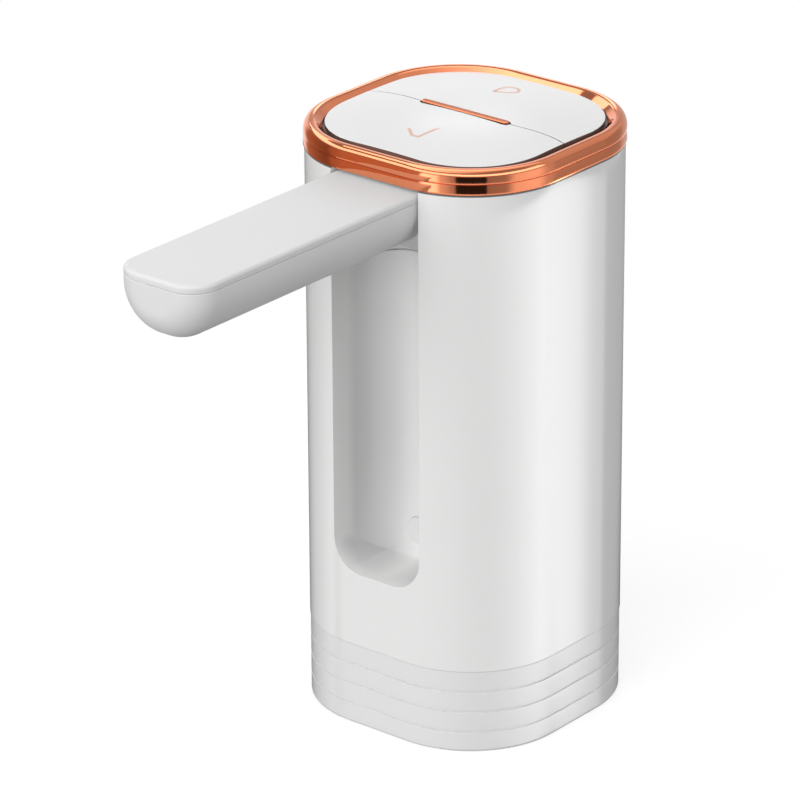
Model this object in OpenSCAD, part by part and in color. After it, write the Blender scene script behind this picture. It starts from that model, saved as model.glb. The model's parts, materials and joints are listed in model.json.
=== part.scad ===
// Electric water jug pump with a folding spout.
// Millimetres, +Z up. The origin is the centre of the base's underside, on the jug neck's axis.
// The spout points along -Y and folds down into the recess in the front face.

/* [Body] */
// Width and depth of the square body
body_w = 70; // [66:0.5:90]
// Plan radius of the body's corners
corner_r = 25.6; // [20:0.2:28]
// Wall thickness of the body shell
shell_t = 2.4; // [1.8:0.1:3]
// Height of the body shell, from the base collar to the ring
body_h = 124; // [118:0.5:160]
// Height of the base collar
base_h = 21.6; // [20:0.2:26]
// How far the base collar stands in from the shell
base_inset = 0.15; // [0:0.05:1]
// Number of fine grooves round the base collar
groove_n = 3; // [1:1:5]
// Height of one groove
groove_w = 0.5; // [0.3:0.1:1]
// Depth of one groove
groove_d = 0.4; // [0.2:0.1:0.8]

/* [Ring and keys] */
// Height of the polished ring
ring_h = 6.2; // [5.6:0.1:8]
// Height of the ring's upright band, below its bevel
ring_band_h = 2.8; // [2:0.1:3.2]
// How far the ring stands out from the shell
ring_proud = 0.3; // [0.1:0.05:0.8]
// How far in from the shell's face the ring's crest lies
ring_crest_in = 1.6; // [1.2:0.1:2]
// How far in from the shell's face the ring's lip reaches
ring_lip_in = 4.7; // [4:0.1:5.4]
// Gap between the ring's lip and the keys
key_gap = 0.3; // [0.2:0.05:0.6]
// Width of the seam between the two keys
key_seam = 0.35; // [0.2:0.05:0.8]
// How far the seam bows towards the back
key_bow = 2.6; // [0:0.1:4]
// Height of the keys' crown above the ring's crest
key_crown = 1.1; // [0.4:0.1:2]
// Fall of the keys' dome from its crown to the middle of a side
key_fall = 1.41; // [0.6:0.01:1.6]
// Travel of a key
key_travel = 1; // [0.5:0.1:1.2]
// Length of the bar between the keys
bar_l = 26.6; // [16:0.2:36]
// Width of the bar between the keys
bar_w = 2; // [1.6:0.1:3]

/* [Spout] */
// Width of the spout
spout_w = 26; // [22:0.2:32]
// Height of the spout, lid included
spout_h = 15.7; // [14.5:0.1:18]
// Reach of the spout beyond the front face
spout_reach = 78; // [56:0.5:84]
// Radius of the spout's lower edges
spout_belly_r = 12; // [10:0.1:12.6]
// Radius of the spout's tip, in plan and under its nose
spout_tip_r = 7.4; // [6:0.1:10.5]
// Wall thickness of the spout
spout_t = 1.8; // [1.4:0.1:2.2]
// Thickness of the spout's lid
lid_t = 2; // [1.6:0.1:2.6]
// Radius of the hinge barrel, which is also the pivot's depth behind the front face
hub_r = 11.75; // [11:0.05:13]
// Gap under the ring, above the spout
spout_drop = 1.1; // [0.6:0.1:2]
// Gap on each side of the spout in its recess
recess_gap = 0.4; // [0.3:0.05:0.8]
// Gap behind the folded spout
recess_back_gap = 1.3; // [1:0.1:3]
// Finger gap under the tip of the folded spout
recess_end_gap = 2; // [2:0.1:6]
// Radius of the recess's lower corners, seen from the front
recess_corner_r = 8.5; // [4:0.1:10]
// Radius of the scoop at the bottom of the recess
recess_scoop_r = 4.4; // [3:0.1:6]
// Wall thickness of the recess
recess_t = 2; // [1.6:0.1:2.4]

/* [Neck socket] */
// Diameter of the jug neck socket
neck_d = 57; // [46:0.2:58]
// Thickness of the neck sleeve
sleeve_t = 2.1; // [1.6:0.1:2.4]
// Height of the sleeve's gripping band
grip_h = 11; // [8:0.5:12]
// Depth of the socket above the base collar
socket_over_h = 6.4; // [5:0.1:8]
// Thickness of the chassis roof over the socket
roof_t = 2.5; // [2:0.1:3.5]
// Outside diameter of the intake spigot
spigot_d = 8; // [7:0.1:9]
// Length of the intake spigot below the chassis roof
spigot_l = 14; // [10:0.5:15]

/* [Pump and motor] */
// Teeth on each pump gear
gear_teeth = 10; // [8:1:12]
// Module of the pump gears
gear_m = 0.8; // [0.7:0.05:1]
// Width of the pump gears
gear_w = 8.3; // [6:0.1:10]
// Diameter of the motor can
motor_d = 24.4; // [20:0.2:30]
// Length of the motor can
motor_l = 31; // [26:0.5:40]
// Diameter of the motor shaft
shaft_d = 2; // [1.8:0.1:2.4]
// Clear height between the chassis and the pump
pump_lift = 13.5; // [12:0.1:18]

/* [Cell and boards] */
// Diameter of the rechargeable cell
cell_d = 18.4; // [14:0.1:22.4]
// Length of the rechargeable cell
cell_l = 65; // [50:0.5:78]
// Width of the control board
board_w = 36; // [30:0.5:38]
// Depth of the control board
board_d = 29.5; // [26:0.5:32]
// Width of the charging board
charge_w = 22; // [18:0.5:26]
// Depth of the charging board
charge_d = 14; // [12:0.5:15]
// Width of the charging socket's mouth
port_w = 8.9; // [8:0.1:10]
// Height of the charging socket's mouth
port_h = 3.3; // [3:0.1:4]

/* [Hidden] */
$fn = 128;
eps = 0.05;
// Clearances: pieces that sit still, running shafts, screws in their holes
fit = 0.1;
run = 0.04;
screw_fit = 0.06;
press = 0.02;
// How far a cut runs past the piece it opens
cut_over = 5;
// Body levels and outlines
half_w = body_w / 2;
flat_half = half_w - corner_r;
diag_r = flat_half * sqrt(2) + corner_r;
rim_z = base_h + body_h;
ring_top_z = rim_z + ring_h;
roof_z = base_h + socket_over_h;
floor_z = roof_z + roof_t;
chassis_inset = shell_t + 0.3;
// Socket
neck_r = neck_d / 2;
sleeve_r = neck_r + sleeve_t;
collar_bore_r = sleeve_r + 2 * fit;
lip_r = sleeve_r + 1.4;
lip_h = 1.2;
grip_relief = 0.9;
// Intake spigot
spigot_shoulder_r = spigot_d / 2 + 0.6;
spigot_flange_r = spigot_shoulder_r + 1.3;
spigot_flange_t = 1.5;
inlet_nipple_h = 7;
inlet_gap = 0.2;
// Base screws
base_screw_r = 1.45;
base_head_r = 2.2;
base_head_h = 1.8;
base_seat_z = 12;
base_boss_r = 3.3;
base_boss_l = 13;
boss_web_t = 1.6;
base_s = (collar_bore_r + diag_r - chassis_inset) / 2 / sqrt(2);
// Spout pivot and lengths
spout_top_z = rim_z - spout_drop;
pivot_y = hub_r - half_w;
pivot_z = spout_top_z - hub_r;
tip_y = -half_w - spout_reach;
arm_l = pivot_y - tip_y;
spout_half = spout_w / 2;
belly_z = spout_top_z - spout_h;
lid_z = spout_top_z - lid_t;
// Recess and hub pocket
recess_half = spout_half + recess_gap;
recess_back_y = spout_h + recess_back_gap - half_w;
recess_z = pivot_z - arm_l - recess_end_gap;
recess_back_r = spout_belly_r + recess_gap;
pocket_r = hub_r + recess_gap;
pocket_t = 1.8;
pocket_back_y = pivot_y + pocket_r + pocket_t;
bumper_r = 3.4;
bumper_h = 0.9;
bumper_seat = 0.3;
bumper_stem_r = 1.5;
bumper_z = recess_z + bumper_r + 4.3;
// Swivel and hinge pin
swivel_r = 4.4;
swivel_l = 6;
barrel_core_r = swivel_r + 2.5;
swivel_bore_r = 1.8;
elbow_r = 3.9;
elbow_flange_r = 5.4;
elbow_l = elbow_flange_r + 2 * fit;
elbow_flange_t = 1.2;
oring_r = 0.68;
oring_mid = swivel_r - 0.65;
oring_in = 2.5;
oring_groove_w = 1.6;
pin_r = 3;
pin_head_r = 4.6;
pin_head_t = 1.6;
// Hoses and nipples
nipple_r = 2.8;
nipple_l = 8;
water_r = 1.8;
hose_in_r = nipple_r + 0.05;
hose_out_r = 4.1;
elbow_x = -(recess_half + recess_t + hose_out_r + 2 * fit);
riser_in_r = nipple_r + 0.15;
tube_z = pivot_z + 3.75;
// Cell
cell_r = cell_d / 2;
cell_wall_gap = 1.9;
cell_x = half_w - shell_t - cell_wall_gap - cell_r;
cell_y = 6;
// Pump
gear_c = gear_m * gear_teeth;
plate_over = 7.6;
cell_clear = 0.7;
pump_x = min(0, cell_x - cell_r - cell_clear - plate_over - gear_c / 2);
drive_x = pump_x - gear_c / 2;
idler_x = pump_x + gear_c / 2;
pump_y = 4.6;
pump_z = floor_z + pump_lift;
cover_nipple_z = floor_z + inlet_nipple_h + 0.6;
pump_hole_l = 9;
cover_t = 3;
gasket_t = 0.5;
body_z = pump_z + cover_t + gasket_t;
gear_gap = 0.2;
chamber_top_z = pump_z + cover_t + gear_w + 2 * gear_gap;
pump_top_z = chamber_top_z + 4.3;
gear_tip_r = gear_c / 2 + 0.8 * gear_m;
chamber_r = gear_tip_r + 0.08;
flange_h = 4.5;
block_r = 10.2;
idler_block_r = chamber_r + 1.9;
plate_x0 = drive_x - motor_d / 2 - 0.8;
plate_x1 = idler_x + plate_over;
plate_y = motor_d / 2 - 1.2;
pump_screw_in = 3.2;
pump_screw_r = 1.2;
pump_head_r = 2;
pump_head_h = 1.8;
head_gap = 0.3;
motor_seat_h = 3;
idler_roof_t = 3;
ear_y = 6;
post_r = 2.8;
port_r = 2.4;
port_off = 3.7;
riser_y = pump_y + motor_d / 2 + hose_out_r + 1.1;
ear_half = 4.5;
ear_h = 9.5;
shaft_r = shaft_d / 2;
seal_r = 3;
seal_h = 2.6;
idler_pin_sink = 2;
// Motor
motor_r = motor_d / 2;
can_t = 1;
can_front_t = 1.5;
can_z = pump_top_z;
can_top_z = can_z + motor_l;
bell_t = 2.5;
bell_hub_h = 4;
bush_r = 3;
bush_h = 3;
bush_wall = 1.6;
bell_lip_h = 2;
bell_lip_t = 1.8;
shaft_past = 0.5;
motor_screw_off = 8;
motor_screw_r = 1.25;
magnet_t = 1.85;
core_r = motor_r - can_t - magnet_t - 0.65;
core_z0 = can_z + 6;
core_z1 = can_top_z - 7;
turn_h = 2.8;
comm_r = 3;
tab_off = 7;
tab_w = 2.8;
tab_t = 0.6;
tab_out = 4.5;
brush_z0 = can_top_z - 3.4;
brush_z1 = can_top_z - 2;
brush_gap = 0.3;
slot_n = 5;
slot_in = 0.45;
slot_half = 0.22;
pole_t = 1.4;
slot_mouth = 1.2;
// Cell holder
cup_gap = 0.2;
cup_t = 1.4;
cup_h = 9.5;
tab_thin = 0.3;
cell_z = floor_z + tab_thin + fit;
cell_top_z = cell_z + cell_l;
button_r = 3;
button_h = 0.8;
strip_w = 4;
strip_y = cell_y + cell_r + cup_gap + cup_t + 1.2;
strip_end_y = min(strip_y + 1, base_s - base_boss_r - fit);
// Charging board
charge_z = floor_z + 2.5;
pcb_t = 1.2;
charge_y1 = half_w - shell_t - 1.6;
charge_y0 = charge_y1 - charge_d;
charge_screw_in = 2.6;
charge_screw_x = charge_w / 2 - charge_screw_in;
charge_screw_y = charge_y0 + charge_screw_in;
small_r = 0.9;
small_head_r = 1.7;
small_head_h = 1.2;
small_boss_r = small_head_r + 0.5;
port_gap = 0.3;
port_back_t = 0.8;
tongue_t = 0.7;
tongue_in = 1.2;
port_z = charge_z + pcb_t + port_h / 2;
port_t = 0.35;
port_l = 7.4;
port_y1 = half_w - 0.6;
// Deck, keys and control board
deck_inset = 1.2;
ring_wall_in = 1;
deck_t = 1.8;
deck_z = rim_z + deck_t;
deck_screw_in = 4.2;
deck_s = (diag_r - deck_screw_in) / sqrt(2);
deck_boss_r = 3.2;
deck_boss_l = 7.4;
deck_screw_r = 1.2;
deck_head_r = 2.2;
deck_head_h = 1;
lip_z = rim_z + 4.2;
lip_edge_h = 0.5;
key_inset = ring_lip_in + key_gap;
key_half_w = half_w - key_inset;
key_dome_r = (key_half_w * key_half_w + key_fall * key_fall) / 2 / key_fall;
key_flange_in = 3.6;
key_flange_h = 0.8;
key_z = lip_z - 0.3 - key_flange_h;
key_wall = 1.6;
key_ceil_z = key_z + 1.6;
key_top_z = ring_top_z + key_crown;
seam_steps = 14;
dome_fn = 256;
dome_bands = 12;
dome_step = (half_w * sqrt(2) - corner_r * (sqrt(2) - 1)) / (dome_bands - 1);
bar_top_z = key_top_z + 0.2;
bar_sink = 0.8;
spring_x = half_w - 13;
spring_y = 11;
spring_cup_r = 4;
spring_bore_r = 2.9;
spring_cup_z = rim_z - 3;
spring_floor = 1;
spring_r = 2.1;
spring_wire_r = 0.28;
spring_turns = 5;
guide_r = 1.2;
guide_tail = 1.2;
board_t = 1.6;
board_z = rim_z - 6.2;
board_top_z = board_z + board_t;
board_y0 = pocket_back_y + 1.8;
board_y1 = board_y0 + board_d;
stand_r = 2.4;
stand_in = 3;
stand_roof_t = 1.2;
chip_w = 6;
chip_h = 1.2;
coil_w = 4;
coil_h = 1.6;
chip_in = 4;
switch_hole_gap = 0.4;
switch_w = 6;
switch_h = 3.5;
switch_tip_r = 1.6;
switch_tip_h = 1.5;
key_post_r = 1.5;
key_post_gap = 0.1;
front_switch_y = -4.5;
rear_switch_y = 7.5;
// Colours
white_c = [0.93, 0.93, 0.93];
matt_c = [0.9, 0.9, 0.9];
copper_c = [0.8, 0.47, 0.33];
steel_c = [0.72, 0.72, 0.74];
brass_c = [0.8, 0.65, 0.35];
clear_c = [0.85, 0.87, 0.88];
dark_c = [0.15, 0.15, 0.16];
green_c = [0.1, 0.35, 0.2];
// Routes of the inner hose and leads
lead_r = 0.6;
lead_end_z = board_z - 0.2;
hose_path = [
    [pump_x, riser_y, pump_top_z - 2.4], [pump_x, riser_y, pump_top_z + 6],
    [pump_x, riser_y, pump_top_z + 22], [pump_x - 2, riser_y, can_top_z + 5],
    [-6, 20, pivot_z - 24], [-11, 14, pivot_z - 12],
    [-15.5, 7, pivot_z - 4], [elbow_x, -2, pivot_z], [elbow_x, pivot_y + elbow_l + nipple_l + 1, pivot_z],
    [elbow_x, pivot_y + elbow_l + nipple_l / 2, pivot_z], [elbow_x, pivot_y + elbow_l + 2 * fit, pivot_z]
];
tab_top_z = can_top_z + bell_t + tab_out + 0.2;
motor_lead_a = [[drive_x - tab_off, pump_y, tab_top_z], [-8, 3, tab_top_z + 14], [-5, 2, lead_end_z - 13],
    [-5, 2, lead_end_z]];
motor_lead_b = [[drive_x + tab_off, pump_y, tab_top_z], [3, 3, tab_top_z + 14], [0, 2, lead_end_z - 13],
    [0, 2, lead_end_z]];
cell_lead_a = [[cell_x, cell_y, cell_top_z + button_h + tab_thin + 0.4], [cell_x, cell_y, cell_top_z + 14],
    [14, 6, lead_end_z - 12], [13, 6, lead_end_z]];
cell_lead_b = [[cell_x, strip_y, floor_z + tab_thin + 0.2], [cell_x, strip_y, floor_z + 30],
    [cell_x, strip_y, cell_top_z], [15, 12, lead_end_z - 12], [14, 11, lead_end_z]];
charge_lead_a = [[7, charge_y0 + 6, charge_z + pcb_t + 0.2], [8, riser_y + 2, charge_z + 16],
    [8, riser_y + 2, cell_top_z + 14], [6, 14, lead_end_z - 12], [6, 12, lead_end_z]];
charge_lead_b = [[9.5, charge_y0 + 6, charge_z + pcb_t + 0.2], [10.5, riser_y + 2, charge_z + 16],
    [10.5, riser_y + 2, cell_top_z + 14], [9, 14, lead_end_z - 12], [9, 12, lead_end_z]];

// Helpers

// Body outline, moved in by a distance
module outline(inset = 0) {
    reach = half_w - inset;
    r = corner_r - inset;
    square([2 * reach, 2 * flat_half], center = true);
    square([2 * flat_half, 2 * reach], center = true);
    for (sx = [-1, 1], sy = [-1, 1])
        translate([sx * flat_half, sy * flat_half])
            circle(r);
}

// Slab of the body outline between two levels
module slab(z0, z1, inset = 0) {
    translate([0, 0, z0])
        linear_extrude(z1 - z0)
            outline(inset);
}

// Profile carried round the body outline: x runs out from the shell's face, y is the height
module round_outline() {
    for (k = [0:3])
        rotate(90 * k) {
            translate([flat_half, flat_half, 0])
                rotate_extrude(angle = 90)
                    translate([corner_r, 0])
                        children();
            translate([half_w, flat_half, 0])
                rotate([90, 0, 0])
                    linear_extrude(2 * flat_half)
                        children();
        }
}

// Upright cylinder between two levels
module post(r, z0, z1) {
    translate([0, 0, z0])
        cylinder(r = r, h = z1 - z0);
}

// Upright tube between two levels
module sleeve(r_out, r_in, z0, z1) {
    difference() {
        post(r_out, z0, z1);
        post(r_in, z0 - eps, z1 + eps);
    }
}

// Cylinder along X on the spout's pivot axis
module on_pivot(r, x0, x1) {
    translate([x0, pivot_y, pivot_z])
        rotate([0, 90, 0])
            cylinder(r = r, h = x1 - x0);
}

// Cylinder along Y
module along_y(r, x, z, y0, y1) {
    translate([x, y0, z])
        rotate([-90, 0, 0])
            cylinder(r = r, h = y1 - y0);
}

// Box from its two corners
module box(a, b) {
    translate(a)
        cube(b - a);
}

// Pan-head screw that points along +Z, with its head's seat at the origin
module screw_up(r, l, head_r, head_h) {
    post(head_r, -head_h, 0);
    post(r, 0, l);
}

// The same at four mirrored corners
module at_corners(x, y) {
    for (sx = [-1, 1], sy = [-1, 1])
        translate([sx * x, sy * y, 0])
            children();
}

// Flat outline with round ends along X
module stadium(l, w) {
    square([l - w, w], center = true);
    for (s = [-1, 1])
        translate([s * (l - w) / 2, 0])
            circle(w / 2);
}

function unit(v) = v / norm(v);

// Points of a smooth curve through a route's points
function spline_point(p, i, t) =
    let (
        a = p[max(i - 1, 0)],
        b = p[i],
        c = p[i + 1],
        d = p[min(i + 2, len(p) - 1)]
    )
    0.5 * (2 * b + (c - a) * t + (2 * a - 5 * b + 4 * c - d) * t * t + (3 * b - a - 3 * c + d) * t * t * t);

function spline(p, n) = concat(
    [for (i = [0:len(p) - 2], k = [0:n - 1]) spline_point(p, i, k / n)],
    [p[len(p) - 1]]
);

function heading(p, i) = unit(p[min(i + 1, len(p) - 1)] - p[max(i - 1, 0)]);

// Corners of one ring round a route; side is a direction that the route never takes
function ring_points(p, i, r, n, side) =
    let (
        t = heading(p, i),
        u = unit(cross(side, t)),
        v = cross(t, u)
    )
    [for (k = [0:n - 1]) p[i] + r * (cos(360 * k / n) * u + sin(360 * k / n) * v)];

// Two triangles of a four-sided face
function halves(f) = [[f[0], f[1], f[2]], [f[0], f[2], f[3]]];

// Solid round cord along a route
module cord(p, r, n, side = [1, 0, 0]) {
    m = len(p);
    pts = [for (i = [0:m - 1]) each ring_points(p, i, r, n, side)];
    sides = [for (i = [0:m - 2], k = [0:n - 1]) each halves(
        [i * n + k, (i + 1) * n + k, (i + 1) * n + (k + 1) % n, i * n + (k + 1) % n])];
    first = [[for (k = [0:n - 1]) k]];
    last = [[for (k = [n - 1:-1:0]) (m - 1) * n + k]];
    polyhedron(points = pts, faces = concat(sides, first, last), convexity = 6);
}

// Hollow round hose along a route
module hose(p, r_out, r_in, n, side = [1, 0, 0]) {
    m = len(p);
    s = m * n;
    pts = concat(
        [for (i = [0:m - 1]) each ring_points(p, i, r_out, n, side)],
        [for (i = [0:m - 1]) each ring_points(p, i, r_in, n, side)]
    );
    outer = [for (i = [0:m - 2], k = [0:n - 1]) each halves(
        [i * n + k, (i + 1) * n + k, (i + 1) * n + (k + 1) % n, i * n + (k + 1) % n])];
    inner = [for (i = [0:m - 2], k = [0:n - 1]) each halves(
        [s + i * n + k, s + i * n + (k + 1) % n, s + (i + 1) * n + (k + 1) % n, s + (i + 1) * n + k])];
    first = [for (k = [0:n - 1]) [k, (k + 1) % n, s + (k + 1) % n, s + k]];
    q = (m - 1) * n;
    last = [for (k = [0:n - 1]) [q + (k + 1) % n, q + k, s + q + k, s + q + (k + 1) % n]];
    polyhedron(points = pts, faces = concat(outer, inner, first, last), convexity = 6);
}

// Involute gear outline
gear_pa = 28;
gear_slack = 0.14;
gear_flank_n = 5;
function roll(a) = (tan(a) - a * PI / 180) * 180 / PI;
module gear_outline() {
    rp = gear_c / 2;
    rb = rp * cos(gear_pa);
    rf = rp - gear_m;
    half_tooth = (PI * gear_m / 2 - gear_slack) / 2 / rp * 180 / PI + roll(gear_pa);
    tip_a = acos(rb / gear_tip_r);
    flank = [for (k = [0:gear_flank_n])
        let (a = tip_a * k / gear_flank_n) [rb / cos(a), half_tooth - roll(a)]];
    polygon([for (t = [0:gear_teeth - 1]) each
        let (mid = 360 * t / gear_teeth)
        concat(
            [rf * [cos(mid - half_tooth), sin(mid - half_tooth)]],
            [for (f = flank) f[0] * [cos(mid - f[1]), sin(mid - f[1])]],
            [for (k = [gear_flank_n:-1:0])
                flank[k][0] * [cos(mid + flank[k][1]), sin(mid + flank[k][1])]],
            [rf * [cos(mid + half_tooth), sin(mid + half_tooth)]]
        )]);
}

// Base and socket

module base_collar() {
    color(matt_c)
        difference() {
            slab(0, base_h, base_inset);
            post(collar_bore_r, -eps, base_h + eps);
            post(lip_r + fit, -eps, lip_h + fit);
            for (k = [1:groove_n])
                translate([0, 0, k * base_h / (groove_n + 1)])
                    difference() {
                        slab(-groove_w / 2, groove_w / 2, base_inset - 1);
                        slab(-groove_w, groove_w, base_inset + groove_d);
                    }
            at_corners(base_s, base_s) {
                post(base_screw_r + screw_fit, -eps, base_h + eps);
                post(base_head_r + 2 * fit, -eps, base_seat_z);
            }
        }
}

module neck_sleeve() {
    color(clear_c)
        difference() {
            union() {
                post(sleeve_r, 0, roof_z - 2 * fit);
                post(lip_r, 0, lip_h);
            }
            post(neck_r, -eps, grip_h + eps);
            post(neck_r + grip_relief, grip_h, roof_z);
        }
}

module base_screws() {
    color(steel_c)
        at_corners(base_s, base_s)
            translate([0, 0, base_seat_z])
                screw_up(base_screw_r, floor_z + base_boss_l - 3 - base_seat_z, base_head_r, base_head_h);
}

module chassis() {
    color(matt_c)
        difference() {
            union() {
                slab(base_h, floor_z, chassis_inset);
                translate([cell_x, cell_y, 0])
                    post(cell_r + cup_gap + cup_t, floor_z - eps, floor_z + cup_h);
                pump_screw_places()
                    post(post_r, floor_z - eps, pump_z);
                charge_screw_places()
                    post(small_boss_r, floor_z - eps, charge_z);
                for (s = [-1, 1])
                    translate([s * charge_screw_x, charge_y1 - charge_screw_in, 0])
                        post(small_boss_r, floor_z - eps, charge_z);
            }
            post(collar_bore_r, base_h - eps, roof_z);
            translate([pump_x, 0, 0])
                post(spigot_shoulder_r + fit, roof_z - eps, floor_z + eps);
            translate([cell_x, cell_y, 0])
                post(cell_r + cup_gap, floor_z, floor_z + cup_h + eps);
            box([cell_x - strip_w / 2 - fit, cell_y, floor_z],
                [cell_x + strip_w / 2 + fit, cell_y + cell_r + cup_gap + cup_t + 1, floor_z + cup_h + eps]);
            at_corners(base_s, base_s)
                post(base_screw_r + screw_fit, base_h - eps, floor_z + eps);
            pump_screw_places()
                post(pump_screw_r + screw_fit, pump_z - pump_hole_l, pump_z + eps);
            charge_screw_places()
                post(small_r + screw_fit, floor_z - 1, charge_z + eps);
        }
}

module intake_spigot() {
    color(clear_c)
        translate([pump_x, 0, 0])
            difference() {
                union() {
                    post(spigot_d / 2, roof_z - spigot_l, roof_z + eps);
                    post(spigot_shoulder_r, roof_z, floor_z + eps);
                    post(spigot_flange_r, floor_z, floor_z + spigot_flange_t);
                    post(nipple_r, floor_z + spigot_flange_t - eps, floor_z + inlet_nipple_h);
                }
                post(water_r, roof_z - spigot_l - eps, floor_z + inlet_nipple_h + eps);
            }
}

module intake_hose() {
    color(clear_c)
        translate([pump_x, 0, 0])
            sleeve(hose_out_r, hose_in_r, floor_z + spigot_flange_t + inlet_gap, pump_z - inlet_gap);
}

// Body shell

// Plan of the recess from the front face to its round back, grown outwards by a wall
module recess_plan(grow) {
    wide = recess_half + grow;
    back = recess_back_y + grow;
    back_r = recess_back_r + grow;
    front = -half_w - cut_over;
    translate([-wide, front])
        square([2 * wide, back - back_r - front]);
    translate([-wide + back_r, front])
        square([2 * (wide - back_r), back - front]);
    for (s = [-1, 1])
        translate([s * (wide - back_r), back - back_r])
            circle(back_r);
}

// Space that the folded spout lies in, grown outwards by a wall
module recess_space(grow = 0) {
    z0 = recess_z - grow;
    back = recess_back_y + grow;
    wide = recess_half + grow;
    low_r = recess_corner_r + grow;
    scoop_r = recess_scoop_r + grow;
    front = -half_w - cut_over;
    intersection() {
        translate([0, 0, z0])
            linear_extrude(pivot_z - z0)
                recess_plan(grow);
        translate([0, back + 1, 0])
            rotate([90, 0, 0])
                linear_extrude(back + 1 - front) {
                    translate([-wide, z0 + low_r])
                        square([2 * wide, pivot_z - z0]);
                    translate([-wide + low_r, z0])
                        square([2 * (wide - low_r), pivot_z - z0]);
                    for (s = [-1, 1])
                        translate([s * (wide - low_r), z0 + low_r])
                            circle(low_r);
                }
        translate([-wide - 1, 0, 0])
            rotate([90, 0, 90])
                linear_extrude(2 * wide + 2) {
                    translate([front, z0])
                        square([back - scoop_r - front, pivot_z - z0]);
                    translate([front, z0 + scoop_r])
                        square([back - front, pivot_z - z0]);
                    translate([back - scoop_r, z0 + scoop_r])
                        circle(scoop_r);
                }
    }
}

// Space for the hinge barrel and the spout's root, grown outwards by a wall
module root_space(grow_x, r) {
    on_pivot(r, -recess_half - grow_x, recess_half + grow_x);
    box([-recess_half - grow_x, -half_w - cut_over, pivot_z], [recess_half + grow_x, pivot_y, rim_z + 1]);
}

module body_shell() {
    color(white_c)
        difference() {
            union() {
                difference() {
                    slab(base_h, rim_z);
                    slab(base_h - eps, rim_z + eps, shell_t);
                }
                intersection() {
                    slab(base_h, rim_z, fit);
                    union() {
                        recess_space(recess_t);
                        root_space(recess_t, pocket_r + pocket_t);
                    }
                }
                intersection() {
                    slab(base_h, rim_z, fit);
                    union() {
                        at_corners(base_s, base_s)
                            post(base_boss_r, floor_z + fit, floor_z + base_boss_l);
                        for (k = [0:3])
                            rotate(45 + 90 * k)
                                box([base_s * sqrt(2), -boss_web_t / 2, floor_z + 1],
                                    [diag_r, boss_web_t / 2, floor_z + base_boss_l - 1]);
                        at_corners(deck_s, deck_s)
                            post(deck_boss_r, rim_z - deck_boss_l, rim_z);
                    }
                }
            }
            recess_space();
            root_space(0, pocket_r);
            at_corners(base_s, base_s)
                post(base_screw_r + screw_fit, floor_z, floor_z + base_boss_l - 2);
            at_corners(deck_s, deck_s)
                post(deck_screw_r + screw_fit, rim_z - deck_boss_l + 1, rim_z + eps);
            on_pivot(swivel_r + fit, -recess_half - recess_t - 1, -recess_half + 1);
            on_pivot(pin_r + fit, recess_half - 1, recess_half + recess_t + 1);
            along_y(bumper_r + fit, 0, bumper_z, recess_back_y - 2, recess_back_y + bumper_seat);
            along_y(bumper_stem_r + fit, 0, bumper_z, recess_back_y - 1, recess_back_y + recess_t + 1);
            translate([0, half_w + 1, port_z])
                rotate([90, 0, 0])
                    linear_extrude(shell_t + 2)
                        stadium(port_w + 2 * port_gap, port_h + 2 * port_gap);
        }
}

module recess_bumper() {
    color(matt_c) {
        along_y(bumper_r, 0, bumper_z, recess_back_y - bumper_h, recess_back_y + bumper_seat);
        along_y(bumper_stem_r, 0, bumper_z, recess_back_y + bumper_seat - eps, recess_back_y + recess_t);
    }
}

// Top

module top_deck() {
    color(matt_c)
        difference() {
            union() {
                slab(rim_z, deck_z, deck_inset);
                at_corners(spring_x, spring_y)
                    post(spring_cup_r, spring_cup_z, rim_z + eps);
                board_screw_places()
                    post(stand_r, board_top_z, rim_z + eps);
            }
            at_corners(deck_s, deck_s) {
                post(deck_screw_r + 2 * screw_fit, rim_z - eps, deck_z + eps);
                post(deck_head_r + fit, deck_z - deck_head_h, deck_z + eps);
            }
            at_corners(spring_x, spring_y) {
                post(spring_bore_r, spring_cup_z + spring_floor, deck_z + eps);
                post(guide_r + 2 * fit, spring_cup_z - eps, deck_z);
            }
            board_screw_places()
                post(small_r + screw_fit, board_top_z - eps, rim_z - stand_roof_t / 2);
            switch_places()
                post(switch_tip_r + switch_hole_gap, rim_z - eps, deck_z + eps);
            translate([0, 0, deck_z - bar_sink])
                linear_extrude(bar_sink + eps)
                    stadium(bar_l + fit, bar_w + fit);
        }
}

module deck_screws() {
    color(steel_c)
        at_corners(deck_s, deck_s) {
            post(deck_head_r, deck_z - deck_head_h, deck_z);
            post(deck_screw_r, rim_z - deck_boss_l + 2, deck_z - deck_head_h + eps);
        }
}

module top_ring() {
    crest_n = 8;
    color(copper_c)
        round_outline()
            polygon(concat(
                [[-ring_wall_in, rim_z], [ring_proud, rim_z]],
                [for (k = [0:crest_n])
                    [(ring_crest_in + ring_proud) * cos(90 * k / crest_n) - ring_crest_in,
                     rim_z + ring_band_h + (ring_h - ring_band_h) * sin(90 * k / crest_n)]],
                [[-ring_lip_in, lip_z + lip_edge_h], [-ring_lip_in, lip_z], [-ring_wall_in, lip_z]]
            ));
}

module accent_bar() {
    color(copper_c)
        translate([0, 0, deck_z - bar_sink])
            linear_extrude(bar_top_z - deck_z + bar_sink)
                stadium(bar_l, bar_w);
}

// Height of the seam line at a distance along the bar
function seam_y(x) =
    let (u = max(abs(x) - bar_l / 2, 0) / (key_half_w - bar_l / 2))
    key_bow * u * (1 - u * u);

// Half of the key field: side is -1 for the front, 1 for the back
module key_half(side) {
    far = half_w + cut_over;
    edge = [for (k = [0:2 * seam_steps])
        let (x = (k / seam_steps - 1) * half_w)
        [x, seam_y(x) + side * key_seam / 2]];
    polygon(concat(edge, [[half_w, side * far], [-half_w, side * far]]));
}

// Height of the keys' dome at a distance from the axis
function dome_z(r) = key_top_z - key_dome_r + sqrt(key_dome_r * key_dome_r - r * r);

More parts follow.
